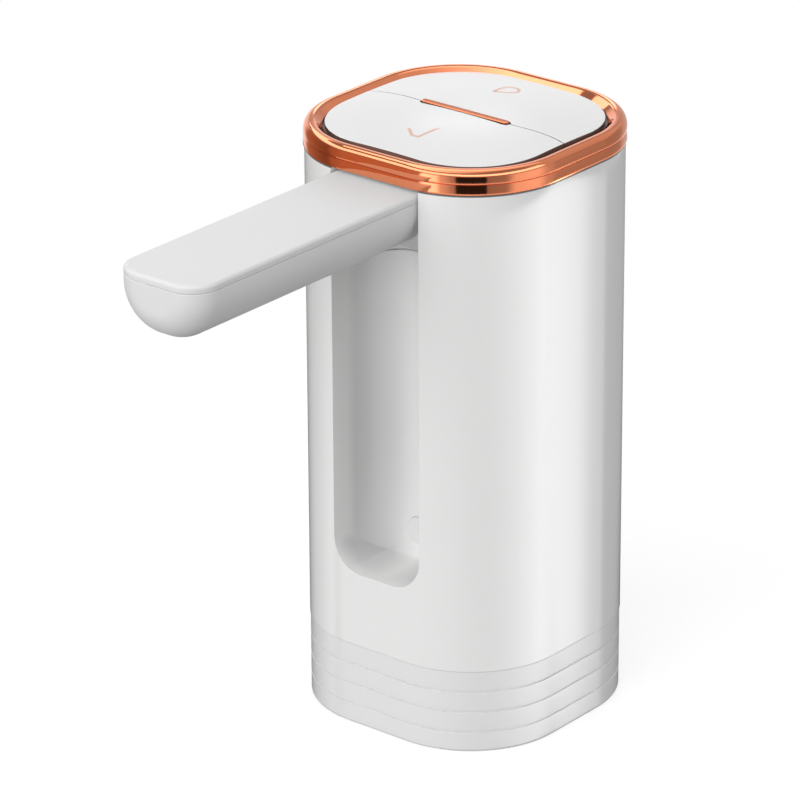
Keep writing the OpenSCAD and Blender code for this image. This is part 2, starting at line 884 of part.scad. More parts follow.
// Solid under the keys' domed top, in narrow cone bands
module key_dome() {
    rotate_extrude($fn = dome_fn)
        polygon(concat(
            [[0, key_z - cut_over], [0, dome_z(dome_step / 2)]],
            [for (i = [0.5 : dome_bands]) [i * dome_step, dome_z(i * dome_step)]],
            [[(dome_bands - 0.5) * dome_step, key_z - cut_over]]));
}

module key(side) {
    color(white_c)
        difference() {
            union() {
                intersection() {
                    slab(key_z, key_top_z + 1, key_inset);
                    key_dome();
                    translate([0, 0, key_z])
                        linear_extrude(key_top_z)
                            difference() {
                                key_half(side);
                                stadium(bar_l + 2 * key_gap, bar_w + 2 * key_gap);
                            }
                }
                translate([0, 0, key_z])
                    linear_extrude(key_flange_h)
                        intersection() {
                            difference() {
                                outline(key_flange_in);
                                outline(key_inset + key_wall / 2);
                            }
                            key_half(side);
                        }
            }
            translate([0, 0, key_z - eps])
                linear_extrude(key_ceil_z - key_z + eps)
                    outline(key_inset + key_wall);
        }
    color(white_c)
        for (s = [-1, 1])
            translate([s * spring_x, side * spring_y, 0])
                post(guide_r, spring_cup_z - guide_tail + 1, key_ceil_z + eps);
    color(white_c)
        translate([0, side < 0 ? front_switch_y : rear_switch_y, 0])
            post(key_post_r, board_top_z + switch_h + switch_tip_h + key_travel + key_post_gap,
                key_ceil_z + eps);
}

module front_key() {
    key(-1);
}

module rear_key() {
    key(1);
}

module key_springs(side) {
    z0 = spring_cup_z + spring_floor + spring_wire_r + press;
    z1 = key_ceil_z - spring_wire_r - press;
    turn_n = 10;
    steps = spring_turns * turn_n;
    color(steel_c)
        for (s = [-1, 1])
            translate([s * spring_x, side * spring_y, 0])
                cord([for (k = [0:steps])
                    [spring_r * cos(360 * k / turn_n), spring_r * sin(360 * k / turn_n),
                     z0 + (z1 - z0) * k / steps]], spring_wire_r, 6, [0, 0, 1]);
}

module front_key_springs() {
    key_springs(-1);
}

module rear_key_springs() {
    key_springs(1);
}

// Control board

module board_screw_places() {
    for (s = [-1, 1], y = [board_y0 + stand_in, board_y1 - stand_in])
        translate([s * (board_w / 2 - stand_in), y, 0])
            children();
}

module switch_places() {
    for (y = [front_switch_y, rear_switch_y])
        translate([0, y, 0])
            children();
}

module control_board() {
    color(green_c)
        difference() {
            box([-board_w / 2, board_y0, board_z], [board_w / 2, board_y1, board_top_z]);
            board_screw_places()
                post(small_r + screw_fit, board_z - eps, board_top_z + eps);
        }
}

module board_chips() {
    color(dark_c) {
        chip(-chip_w - chip_in, board_y1 - chip_in - chip_w, chip_w, chip_h);
        chip(chip_in, board_y1 - chip_in - coil_w, coil_w, coil_h);
        chip(switch_w, front_switch_y, chip_w, chip_h);
        chip(-switch_w - coil_w, front_switch_y, coil_w, coil_h);
    }
}

// Square block on the control board, from its corner
module chip(x, y, w, h) {
    box([x, y, board_top_z], [x + w, y + w, board_top_z + h]);
}

module tact_switches() {
    color(dark_c)
        switch_places() {
            box([-switch_w / 2, -switch_w / 2, board_top_z],
                [switch_w / 2, switch_w / 2, board_top_z + switch_h]);
            post(switch_tip_r, board_top_z + switch_h - eps, board_top_z + switch_h + switch_tip_h);
        }
}

module board_screws() {
    color(steel_c)
        board_screw_places()
            translate([0, 0, board_z])
                screw_up(small_r, rim_z - stand_roof_t - board_z, small_head_r, small_head_h);
}

// Pump

module pump_screw_places() {
    for (x = [plate_x0 + pump_screw_in, plate_x1 - pump_screw_in], s = [-1, 1])
        translate([x, pump_y + s * (plate_y - pump_screw_in), 0])
            children();
}

module pump_plate(z0, z1) {
    difference() {
        box([plate_x0, pump_y - plate_y, z0], [plate_x1, pump_y + plate_y, z1]);
        pump_screw_places()
            post(pump_screw_r + screw_fit, z0 - eps, z1 + eps);
    }
}

module gear_places() {
    for (x = [drive_x, idler_x])
        translate([x, pump_y, 0])
            children();
}

// Gear chamber with its two ports, between two levels
module chamber(z0, z1) {
    gear_places()
        post(chamber_r, z0, z1);
    for (s = [-1, 1])
        translate([pump_x, pump_y + s * port_off, 0])
            post(port_r, z0, z1);
}

module pump_cover() {
    color(dark_c)
        difference() {
            union() {
                pump_plate(pump_z, pump_z + cover_t);
                translate([pump_x, 0, 0])
                    post(nipple_r, cover_nipple_z, pump_z + eps);
            }
            translate([pump_x, 0, 0])
                post(water_r, cover_nipple_z - eps, pump_z + cover_t + eps);
            translate([idler_x, pump_y, 0])
                post(shaft_r + press, pump_z + cover_t - idler_pin_sink, pump_z + cover_t + eps);
        }
}

module pump_gasket() {
    color(clear_c)
        difference() {
            pump_plate(pump_z + cover_t, body_z);
            chamber(pump_z + cover_t - eps, body_z + eps);
            for (s = [-1, 1])
                translate([drive_x, pump_y + s * motor_screw_off, 0])
                    post(pump_head_r + head_gap, pump_z + cover_t - eps, body_z + eps);
        }
}

module pump_body() {
    channel_z = body_z + ear_h / 2;
    color(dark_c)
        difference() {
            union() {
                pump_plate(body_z, body_z + flange_h);
                translate([drive_x, pump_y, 0])
                    post(block_r, body_z, pump_top_z);
                translate([idler_x, pump_y, 0])
                    post(idler_block_r, body_z, chamber_top_z + idler_roof_t);
                box([pump_x - ear_half, pump_y + ear_y, body_z],
                    [pump_x + ear_half, riser_y + ear_half, body_z + ear_h]);
                translate([pump_x, riser_y, 0])
                    post(nipple_r, body_z + ear_h - eps, body_z + ear_h + nipple_l);
            }
            chamber(body_z - eps, chamber_top_z);
            along_y(water_r - fit, pump_x, channel_z, pump_y + port_off, riser_y);
            translate([pump_x, riser_y, 0])
                post(water_r, channel_z, body_z + ear_h + nipple_l + eps);
            translate([drive_x, pump_y, 0]) {
                post(shaft_r + fit, chamber_top_z - eps, pump_top_z + eps);
                post(seal_r, pump_top_z - seal_h - fit, pump_top_z + eps);
            }
            translate([idler_x, pump_y, 0])
                post(shaft_r + press, chamber_top_z - eps, chamber_top_z + idler_pin_sink);
            for (s = [-1, 1])
                translate([drive_x, pump_y + s * motor_screw_off, 0]) {
                    post(motor_screw_r + screw_fit, body_z - eps, pump_top_z + eps);
                    post(pump_head_r + head_gap, body_z - eps, body_z + motor_seat_h);
                }
        }
}

module pump_screws() {
    color(steel_c)
        pump_screw_places() {
            post(pump_head_r, body_z + flange_h, body_z + flange_h + pump_head_h);
            post(pump_screw_r, pump_z - pump_hole_l + 1, body_z + flange_h + eps);
        }
}

module motor_screws() {
    color(steel_c)
        for (s = [-1, 1])
            translate([drive_x, pump_y + s * motor_screw_off, body_z + motor_seat_h])
                screw_up(motor_screw_r, can_z + can_front_t - body_z - motor_seat_h, pump_head_r,
                    pump_head_h);
}

module idler_pin() {
    color(steel_c)
        translate([idler_x, pump_y, 0])
            post(shaft_r, pump_z + cover_t - idler_pin_sink, chamber_top_z + idler_pin_sink);
}

module shaft_seal() {
    color(dark_c)
        translate([drive_x, pump_y, 0])
            sleeve(seal_r - press, shaft_r + run, pump_top_z - seal_h, pump_top_z - fit);
}

module pump_gear() {
    z0 = pump_z + cover_t + gear_gap;
    translate([0, 0, z0])
        linear_extrude(gear_w)
            children();
}

module drive_gear() {
    color(clear_c)
        translate([drive_x, pump_y, 0])
            pump_gear()
                difference() {
                    gear_outline();
                    circle(shaft_r + press);
                }
}

module idler_gear() {
    color(clear_c)
        translate([idler_x, pump_y, 0])
            pump_gear()
                difference() {
                    rotate(180 + 180 / gear_teeth)
                        gear_outline();
                    circle(shaft_r + run);
                }
}

// Motor

module on_motor() {
    translate([drive_x, pump_y, 0])
        children();
}

module motor_can() {
    color(steel_c)
        on_motor()
            difference() {
                post(motor_r, can_z, can_top_z);
                post(motor_r - can_t, can_z + can_front_t, can_top_z + eps);
                post(bush_r + press, can_z - eps, can_z + can_front_t + eps);
                for (s = [-1, 1])
                    translate([0, s * motor_screw_off, 0])
                        post(motor_screw_r + screw_fit, can_z - eps, can_z + can_front_t + eps);
            }
}

module field_magnets() {
    span = 130;
    r_out = motor_r - can_t - run;
    color(dark_c)
        on_motor()
            for (a = [0, 180])
                rotate(a - span / 2)
                    translate([0, 0, core_z0 - 1])
                        rotate_extrude(angle = span)
                            translate([r_out - magnet_t, 0])
                                square([magnet_t, core_z1 - core_z0 + 2]);
}

module motor_bushes() {
    color(brass_c)
        on_motor() {
            sleeve(bush_r, shaft_r + run, can_z + fit, can_z + bush_h);
            sleeve(bush_r, shaft_r + run, can_top_z + bell_hub_h - bush_h, can_top_z + bell_hub_h);
        }
}

module motor_end_bell() {
    color(dark_c)
        on_motor()
            difference() {
                union() {
                    post(motor_r, can_top_z, can_top_z + bell_t);
                    sleeve(motor_r - can_t - run, motor_r - can_t - bell_lip_t,
                        can_top_z - bell_lip_h, can_top_z + eps);
                    post(bush_r + bush_wall, can_top_z, can_top_z + bell_hub_h);
                }
                post(shaft_r + head_gap, can_top_z - eps, can_top_z + bell_hub_h + eps);
                post(bush_r + press, can_top_z + bell_hub_h - bush_h, can_top_z + bell_hub_h + eps);
                for (s = [-1, 1])
                    box([s * tab_off - tab_t / 2 - fit, -tab_w / 2 - fit, can_top_z - eps],
                        [s * tab_off + tab_t / 2 + fit, tab_w / 2 + fit, can_top_z + bell_t + eps]);
            }
}

module motor_terminals() {
    color(brass_c)
        on_motor()
            for (a = [0, 180])
                rotate(a) {
                    box([tab_off - tab_t / 2, -tab_w / 2, brush_z0],
                        [tab_off + tab_t / 2, tab_w / 2, can_top_z + bell_t + tab_out]);
                    box([comm_r + brush_gap, -tab_w / 2, brush_z0], [tab_off, tab_w / 2, brush_z1]);
                }
}

module motor_shaft() {
    color(steel_c)
        on_motor()
            post(shaft_r, pump_z + cover_t + gear_gap, can_top_z + bell_hub_h + shaft_past);
}

module armature() {
    color(steel_c)
        on_motor()
            difference() {
                post(core_r, core_z0, core_z1);
                post(shaft_r + press, core_z0 - eps, core_z1 + eps);
                for (k = [0:slot_n - 1])
                    rotate(360 * k / slot_n) {
                        box([core_r * slot_in, -core_r * slot_half, core_z0 - eps],
                            [core_r - pole_t, core_r * slot_half, core_z1 + eps]);
                        box([core_r - pole_t - fit, -slot_mouth / 2, core_z0 - eps],
                            [core_r + 1, slot_mouth / 2, core_z1 + eps]);
                    }
            }
}

module armature_windings() {
    mid_r = core_r * 0.62;
    band = core_r * 0.2;
    color(copper_c)
        on_motor()
            for (z = [core_z0 - turn_h / 2 - eps, core_z1 + turn_h / 2 + eps])
                translate([0, 0, z])
                    rotate_extrude() {
                        translate([mid_r - band, -turn_h / 2])
                            square([2 * band, turn_h]);
                        for (s = [-1, 1])
                            translate([mid_r + s * band, 0])
                                circle(turn_h / 2);
                    }
}

module commutator() {
    color(copper_c)
        on_motor()
            sleeve(comm_r, shaft_r + press, core_z1 + turn_h + brush_gap, can_top_z - shaft_past);
}

// Water path

module outlet_hose() {
    color(clear_c)
        hose(spline(hose_path, 4), hose_out_r, riser_in_r, 12);
}

module swivel_elbow() {
    wall_x = -recess_half - recess_t;
    tip_x = -spout_half + swivel_l;
    color(dark_c)
        difference() {
            union() {
                on_pivot(swivel_r, wall_x - eps, tip_x);
                intersection() {
                    slab(pivot_z - pocket_r, pivot_z + pocket_r, shell_t + head_gap);
                    union() {
                        on_pivot(swivel_r, elbow_x, wall_x);
                        on_pivot(elbow_flange_r, wall_x - elbow_flange_t, wall_x);
                        along_y(elbow_r, elbow_x, pivot_z, pivot_y - elbow_r, pivot_y + elbow_l);
                    }
                }
                along_y(nipple_r, elbow_x, pivot_z, pivot_y + elbow_l - eps, pivot_y + elbow_l + nipple_l);
            }
            on_pivot(swivel_bore_r, elbow_x, tip_x + eps);
            along_y(swivel_bore_r + fit, elbow_x, pivot_z, pivot_y - 1, pivot_y + elbow_l + nipple_l + eps);
            translate([tip_x - oring_in, pivot_y, pivot_z])
                rotate([0, 90, 0])
                    sleeve(swivel_r + 1, oring_mid - oring_r - press, -oring_groove_w / 2,
                        oring_groove_w / 2);
        }
}

module swivel_oring() {
    color(dark_c)
        translate([-spout_half + swivel_l - oring_in, pivot_y, pivot_z])
            rotate([0, 90, 0])
                rotate_extrude()
                    translate([oring_mid, 0])
                        circle(oring_r);
}

module pivot_pin() {
    wall_x = recess_half + recess_t;
    color(steel_c) {
        on_pivot(pin_r, spout_half - swivel_l, wall_x + eps);
        on_pivot(pin_head_r, wall_x, wall_x + pin_head_t);
    }
}

// Spout

// Plan of the spout from the pivot to the tip, moved in by a wall
module spout_plan(t) {
    r = spout_tip_r - t;
    wide = spout_half - t;
    y0 = tip_y + t;
    translate([-wide, y0 + r])
        square([2 * wide, pivot_y - y0 - r]);
    translate([-wide + r, y0])
        square([2 * (wide - r), pivot_y - y0]);
    for (s = [-1, 1])
        translate([s * (wide - r), y0 + r])
            circle(r);
}

// Half of the spout's belly in a plane along the spout: as deep as r, with the tip's rounding
module belly_half(r, l, tip) {
    square([r, l - tip]);
    square([r - tip, l]);
    intersection() {
        square([r, l]);
        translate([r - tip, l - tip])
            circle(tip);
    }
}

// Spout from the pivot to the tip, moved in by a wall: straight sides on a round belly
module spout_form(t) {
    r = spout_belly_r - t;
    l = arm_l - t;
    tip = spout_tip_r - t;
    side = spout_half - spout_belly_r;
    mid = belly_z + spout_belly_r;
    translate([0, 0, mid])
        linear_extrude(spout_top_z - mid)
            spout_plan(t);
    translate([side, pivot_y, mid])
        rotate([180, 90, 0])
            linear_extrude(2 * side)
                belly_half(r, l, tip);
    for (s = [-1, 1])
        translate([s * side, pivot_y, mid])
            rotate([90, 180, 0])
                rotate_extrude(angle = 180)
                    belly_half(r, l, tip);
}

nozzle_y = tip_y + 11.5;
nozzle_r = 5.2;
nozzle_flange_r = 6.6;
nozzle_bore_r = 3.6;
nozzle_floor_z = belly_z + spout_t + 0.6;
nozzle_flange_t = 1.1;
nozzle_roof_t = 0.8;
nozzle_foot_z = belly_z + 0.9;
screen_r = nozzle_bore_r + 0.65;
screen_t = 0.8;
screen_z = belly_z + 1.3;
screen_hole_r = 0.7;
screen_pitch = 2.2;
hub_front_y = pivot_y - hub_r;
tube_start_y = hub_front_y - recess_gap;

// Hinge end of the spout: a core round the pivot, and a barrel that is cut back to the recess's wall
module hinge_barrel() {
    on_pivot(barrel_core_r, -spout_half, spout_half);
    difference() {
        on_pivot(hub_r, -spout_half, spout_half);
        difference() {
            translate([0, 0, recess_z])
                linear_extrude(spout_top_z - recess_z)
                    recess_plan(0);
            translate([0, hub_r, 0])
                spout_form(0);
        }
    }
}

module spout_shell() {
    color(white_c)
        difference() {
            union() {
                difference() {
                    union() {
                        spout_form(0);
                        hinge_barrel();
                    }
                    difference() {
                        spout_form(spout_t);
                        on_pivot(hub_r, -spout_half, spout_half);
                    }
                    box([-spout_half - 1, tip_y - 1, lid_z], [spout_half + 1, pivot_y, spout_top_z + 1]);
                }
                along_y(nipple_r, 0, tube_z, hub_front_y - nipple_l, hub_front_y + 1.5);
            }
            on_pivot(swivel_r + run, -spout_half - 1, -spout_half + swivel_l + 0.3);
            on_pivot(pin_r + run, spout_half - swivel_l - 0.3, spout_half + 1);
            on_pivot(swivel_bore_r, -spout_half + swivel_l, 0);
            translate([0, pivot_y, 0])
                post(water_r, pivot_z, tube_z);
            along_y(water_r, 0, tube_z, hub_front_y - nipple_l - eps, pivot_y);
            translate([0, nozzle_y, 0]) {
                post(nozzle_r + fit, belly_z - 1, belly_z + spout_t + 1);
                post(nozzle_flange_r + fit, nozzle_floor_z, lid_z);
            }
        }
}

module spout_lid() {
    rib_h = 1.6;
    rib_t = 1.2;
    color(white_c) {
        translate([0, 0, lid_z])
            linear_extrude(lid_t)
                spout_plan(0);
        translate([0, 0, lid_z - rib_h])
            linear_extrude(rib_h + eps)
                intersection() {
                    difference() {
                        spout_plan(spout_t + fit);
                        spout_plan(spout_t + fit + rib_t);
                    }
                    translate([-spout_half, tip_y])
                        square([spout_w, hub_front_y - 1 - tip_y]);
                }
    }
}

module spout_tube() {
    color(clear_c)
        along_tube(hose_out_r - 0.3, hose_in_r, nozzle_y + nozzle_r + nozzle_roof_t, tube_start_y);
}

module along_tube(r_out, r_in, y0, y1) {
    difference() {
        along_y(r_out, 0, tube_z, y0, y1);
        along_y(r_in, 0, tube_z, y0 - eps, y1 + eps);
    }
}

module outlet_nozzle() {
    top_z = tube_z + nipple_r + nozzle_roof_t;
    color(clear_c)
        difference() {
            union() {
                translate([0, nozzle_y, 0]) {
                    post(nozzle_r, nozzle_foot_z, top_z);
                    post(nozzle_flange_r, nozzle_floor_z + fit, nozzle_floor_z + fit + nozzle_flange_t);
                }
                along_y(nipple_r, 0, tube_z, nozzle_y, nozzle_y + nozzle_r + nipple_l);
            }
            translate([0, nozzle_y, 0]) {
                post(nozzle_bore_r, belly_z, tube_z);
                post(screen_r + eps, belly_z, screen_z + screen_t + fit);
            }
            along_y(water_r, 0, tube_z, nozzle_y, nozzle_y + nozzle_r + nipple_l + eps);
        }
}

module nozzle_screen() {
    color(steel_c)
        translate([0, nozzle_y, 0])
            difference() {
                post(screen_r, screen_z, screen_z + screen_t);
                for (k = [0:5])
                    rotate(60 * k)
                        translate([screen_pitch, 0, 0])
                            post(screen_hole_r, screen_z - eps, screen_z + screen_t + eps);
                post(screen_hole_r, screen_z - eps, screen_z + screen_t + eps);
            }
}

// Cell, charging board and leads

module battery_cell() {
    color([0.2, 0.45, 0.6])
        translate([cell_x, cell_y, 0]) {
            post(cell_r, cell_z, cell_top_z);
            post(button_r, cell_top_z - eps, cell_top_z + button_h);
        }
}

module battery_tabs() {
    color(steel_c) {
        box([cell_x - strip_w / 2, cell_y - 5, floor_z],
            [cell_x + strip_w / 2, strip_end_y, floor_z + tab_thin]);
        translate([cell_x, cell_y, 0])
            post(button_r - 0.3, cell_top_z + button_h, cell_top_z + button_h + tab_thin);
    }
}

module charge_screw_places() {
    for (s = [-1, 1])
        translate([s * charge_screw_x, charge_screw_y, 0])
            children();
}

module charge_board() {
    color(green_c)
        difference() {
            box([-charge_w / 2, charge_y0, charge_z], [charge_w / 2, charge_y1, charge_z + pcb_t]);
            charge_screw_places()
                post(small_r + screw_fit, charge_z - eps, charge_z + pcb_t + eps);
        }
}

module charge_socket() {
    color(steel_c)
        translate([0, port_y1, port_z])
            rotate([90, 0, 0])
                union() {
                    union() {
                        difference() {
                            linear_extrude(port_l)
                                stadium(port_w, port_h);
                            translate([0, 0, -eps])
                                linear_extrude(port_l - port_back_t)
                                    stadium(port_w - 2 * port_t, port_h - 2 * port_t);
                        }
                        translate([-port_w / 2 + tongue_in, -tongue_t / 2, tongue_t])
                            cube([port_w - 2 * tongue_in, tongue_t, port_l - port_back_t]);
                    }
                }
}

module charge_screws() {
    color(steel_c)
        charge_screw_places() {
            post(small_head_r, charge_z + pcb_t, charge_z + pcb_t + small_head_h);
            post(small_r, floor_z - 0.6, charge_z + pcb_t + eps);
        }
}

module lead(p) {
    cord(spline(p, 4), lead_r, 8);
}

module motor_leads() {
    color("crimson")
        lead(motor_lead_a);
    color("black")
        lead(motor_lead_b);
}

module battery_leads() {
    color("crimson")
        lead(cell_lead_a);
    color("black")
        lead(cell_lead_b);
}

module charge_leads() {
    color("crimson")
        lead(charge_lead_a);
    color("black")
        lead(charge_lead_b);
}

base_collar();
neck_sleeve();
base_screws();
chassis();
intake_spigot();
intake_hose();
body_shell();
recess_bumper();
top_deck();
deck_screws();
top_ring();
accent_bar();
control_board();
board_chips();
tact_switches();
board_screws();
pump_cover();
pump_gasket();
pump_body();
pump_screws();
motor_screws();
idler_pin();
shaft_seal();
motor_can();
field_magnets();
motor_bushes();
motor_end_bell();
motor_terminals();
outlet_hose();
battery_cell();
battery_tabs();
charge_board();
charge_socket();
charge_screws();
motor_leads();
battery_leads();
charge_leads();
swivel_elbow();
swivel_oring();
pivot_pin();
front_key();
front_key_springs();
rear_key();
rear_key_springs();
spout_shell();
spout_lid();
spout_tube();
outlet_nozzle();
nozzle_screen();
motor_shaft();
armature();
armature_windings();
commutator();
drive_gear();
idler_gear();
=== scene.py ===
"""Looks of a folding-spout water jug pump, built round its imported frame. Metres, +Z up, spout along -Y."""
import json
from math import cos, pi, radians, sin, sqrt

import bmesh
import bpy
from mathutils import Matrix, Vector


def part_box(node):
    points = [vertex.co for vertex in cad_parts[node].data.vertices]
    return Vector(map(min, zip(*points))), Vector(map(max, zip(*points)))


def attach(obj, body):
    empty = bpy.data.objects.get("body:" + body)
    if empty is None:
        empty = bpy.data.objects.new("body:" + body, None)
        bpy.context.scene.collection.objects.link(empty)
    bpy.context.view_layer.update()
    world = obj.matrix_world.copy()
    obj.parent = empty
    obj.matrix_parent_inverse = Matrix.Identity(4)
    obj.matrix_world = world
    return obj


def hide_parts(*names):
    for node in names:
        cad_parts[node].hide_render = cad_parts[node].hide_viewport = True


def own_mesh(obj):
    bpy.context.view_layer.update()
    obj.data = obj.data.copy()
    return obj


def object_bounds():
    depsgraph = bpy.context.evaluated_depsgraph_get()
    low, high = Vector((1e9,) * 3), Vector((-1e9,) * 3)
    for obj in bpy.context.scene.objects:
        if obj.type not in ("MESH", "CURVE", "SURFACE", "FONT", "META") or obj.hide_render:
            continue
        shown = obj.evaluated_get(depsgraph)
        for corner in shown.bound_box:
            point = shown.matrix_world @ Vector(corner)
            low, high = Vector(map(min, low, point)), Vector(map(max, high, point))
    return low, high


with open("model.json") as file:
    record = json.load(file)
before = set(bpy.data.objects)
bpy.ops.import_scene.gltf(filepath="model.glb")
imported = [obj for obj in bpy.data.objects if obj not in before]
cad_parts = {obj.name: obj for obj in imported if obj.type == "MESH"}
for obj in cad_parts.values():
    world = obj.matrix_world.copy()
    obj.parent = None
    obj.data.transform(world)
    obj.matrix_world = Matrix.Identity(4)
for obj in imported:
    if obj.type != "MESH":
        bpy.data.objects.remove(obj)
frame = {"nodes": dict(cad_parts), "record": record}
cad_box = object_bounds()
nodes = frame["nodes"]

MM = 0.001
UP = Vector((0, 0, 1))

# Meshing
WELD = 0.002 * MM
FLAT_ANGLE = radians(0.4)
CREASE_ANGLE = radians(32)
FILLET_STEPS = 4
PICK = 0.05 * MM  # how near a plane an edge lies to be picked by it

# Sizes read from the frame
shell_lo, shell_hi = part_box("body_shell")
ring_lo, ring_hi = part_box("top_ring")
collar_lo, collar_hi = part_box("base_collar")
bar_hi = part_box("accent_bar")[1]
spout_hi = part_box("spout_shell")[1]
lid_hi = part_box("spout_lid")[1]
HALF_W = shell_hi.x
CORNER_R = 25.6 * MM
FLAT_HALF = HALF_W - CORNER_R

# Camera, fitted to the photograph
CAMERA_TARGET = Vector((0, 0, 70 * MM))
CAMERA_AZIMUTH = radians(38.611)
CAMERA_ELEVATION = radians(23.208)
CAMERA_DISTANCE = 1.2736
CAMERA_LENS = 232.1
CAMERA_SENSOR = 36
CAMERA_SHIFT = (-0.0815, 0.0346)
CAMERA_FAR = 20


def heading(azimuth, elevation=0.0):
    """Unit vector towards a place round the object: azimuth 0 is in front of the spout, 90 to its right."""
    return Vector((sin(azimuth) * cos(elevation), -cos(azimuth) * cos(elevation), sin(elevation)))


def add_object(name, data):
    thing = bpy.data.objects.new(name, data)
    bpy.context.scene.collection.objects.link(thing)
    return thing


def aim(thing, azimuth, elevation, distance, front="-Z"):
    """Puts a camera, lamp or card round the object and turns its front to it."""
    away = heading(azimuth, elevation)
    thing.location = CAMERA_TARGET + distance * away
    thing.rotation_euler = (-away).to_track_quat(front, "Y").to_euler()


def add_camera():
    data = bpy.data.cameras.new("camera")
    data.lens = CAMERA_LENS
    data.sensor_width = CAMERA_SENSOR
    data.shift_x, data.shift_y = CAMERA_SHIFT
    data.clip_end = CAMERA_FAR
    camera = add_object("camera", data)
    aim(camera, CAMERA_AZIMUTH, CAMERA_ELEVATION, CAMERA_DISTANCE)
    bpy.context.scene.camera = camera


# Shader helpers


def feed(tree, socket, value):
    """Gives a socket a plain value, or links another node's socket to it."""
    if isinstance(value, bpy.types.NodeSocket):
        tree.links.new(value, socket)
    else:
        socket.default_value = value


def new_group(name, inputs, outputs):
    """A shader node group with named sockets; returns the tree, its input sockets and its output sockets."""
    tree = bpy.data.node_groups.new(name, "ShaderNodeTree")
    for label, kind, value in inputs:
        socket = tree.interface.new_socket(label, in_out="INPUT", socket_type=kind)
        socket.default_value = value
    for label, kind in outputs:
        tree.interface.new_socket(label, in_out="OUTPUT", socket_type=kind)
    return tree, tree.nodes.new("NodeGroupInput").outputs, tree.nodes.new("NodeGroupOutput").inputs


def add_noise(tree, vector, scale, detail=2.0):
    node = tree.nodes.new("ShaderNodeTexNoise")
    for label, value in (("Vector", vector), ("Scale", scale), ("Detail", detail)):
        feed(tree, node.inputs[label], value)
    return node.outputs["Fac"]


def add_math(tree, operation, a, b=0.0):
    node = tree.nodes.new("ShaderNodeMath")
    node.operation = operation
    for socket, value in zip(node.inputs, (a, b)):
        feed(tree, socket, value)
    return node.outputs[0]


def product(tree, *values):
    total = values[0]
    for value in values[1:]:
        total = add_math(tree, "MULTIPLY", total, value)
    return total


def add_mix(tree, factor, a, b):
    """Colour mix; a and b are sockets or RGBA tuples."""
    node = tree.nodes.new("ShaderNodeMix")
    node.data_type = "RGBA"
    for socket, value in zip((node.inputs[0], node.inputs[6], node.inputs[7]), (factor, a, b)):
        feed(tree, socket, value)
    return node.outputs[2]


def add_range(tree, value, start, end, low=0.0, high=1.0, kind="SMOOTHSTEP"):
    """Takes a value from low at start to high at end."""
    node = tree.nodes.new("ShaderNodeMapRange")
    node.interpolation_type = kind
    labels = ("Value", "From Min", "From Max", "To Min", "To Max")
    for label, number in zip(labels, (value, start, end, low, high)):
        feed(tree, node.inputs[label], number)
    return node.outputs[0]


def coordinates(tree, output="Object"):
    """The three sockets of the Object coordinates, or of another kind."""
    split = tree.nodes.new("ShaderNodeSeparateXYZ")
    tree.links.new(tree.nodes.new("ShaderNodeTexCoord").outputs[output], split.inputs[0])
    return split.outputs


# Effects that the finishes share


GRAIN_DETAIL = 3.0
STAIN_SCALE = 180.0
STREAK_STRETCH = (0.15, 0.15, 4.0)
NOISE_MIDDLE = 0.5
EVEN_SHARE = 0.5
FINISH_OUTPUTS = [("Colour", "NodeSocketColor"), ("Roughness", "NodeSocketFloat"), ("Height", "NodeSocketFloat")]


def drifting(tree, given, noise):
    """Roughness that drifts round its middle with a noise."""
    drift = add_math(tree, "MULTIPLY", add_math(tree, "SUBTRACT", noise, NOISE_MIDDLE), given["Roughness Drift"])
    return add_math(tree, "ADD", given["Roughness"], drift)


def surface_group():
    """Colour drift, roughness drift and a fine grain, all over one surface."""
    tree, given, result = new_group(
        "surface_drift",
        [("Colour", "NodeSocketColor", (1, 1, 1, 1)), ("Deep Colour", "NodeSocketColor", (0.9, 0.9, 0.9, 1)),
         ("Roughness", "NodeSocketFloat", 0.4), ("Roughness Drift", "NodeSocketFloat", 0.1),
         ("Patch Scale", "NodeSocketFloat", 60.0), ("Grain Scale", "NodeSocketFloat", 2500.0)],
        FINISH_OUTPUTS)
    place = tree.nodes.new("ShaderNodeTexCoord").outputs["Object"]
    patch = add_noise(tree, place, given["Patch Scale"])
    grain = add_noise(tree, place, given["Grain Scale"], GRAIN_DETAIL)
    mixed = add_math(tree, "ADD", product(tree, patch, EVEN_SHARE), product(tree, grain, EVEN_SHARE))
    tree.links.new(add_mix(tree, patch, given["Deep Colour"], given["Colour"]), result["Colour"])
    tree.links.new(drifting(tree, given, mixed), result["Roughness"])
    tree.links.new(grain, result["Height"])
    return tree


def streak_group():
    """Fine turning or drawing marks along one axis, for plain metals."""
    tree, given, result = new_group(
        "metal_streaks",
        [("Colour", "NodeSocketColor", (0.7, 0.7, 0.7, 1)), ("Deep Colour", "NodeSocketColor", (0.5, 0.5, 0.5, 1)),
         ("Roughness", "NodeSocketFloat", 0.3), ("Roughness Drift", "NodeSocketFloat", 0.15),
         ("Streak Scale", "NodeSocketFloat", 900.0)],
        FINISH_OUTPUTS)
    place = tree.nodes.new("ShaderNodeTexCoord").outputs["Object"]
    stretch = tree.nodes.new("ShaderNodeMapping")
    stretch.inputs["Scale"].default_value = STREAK_STRETCH
    tree.links.new(place, stretch.inputs["Vector"])
    streak = add_noise(tree, stretch.outputs["Vector"], given["Streak Scale"], GRAIN_DETAIL)
    stain = add_noise(tree, place, STAIN_SCALE)
    tree.links.new(add_mix(tree, stain, given["Deep Colour"], given["Colour"]), result["Colour"])
    tree.links.new(drifting(tree, given, streak), result["Roughness"])
    tree.links.new(streak, result["Height"])
    return tree


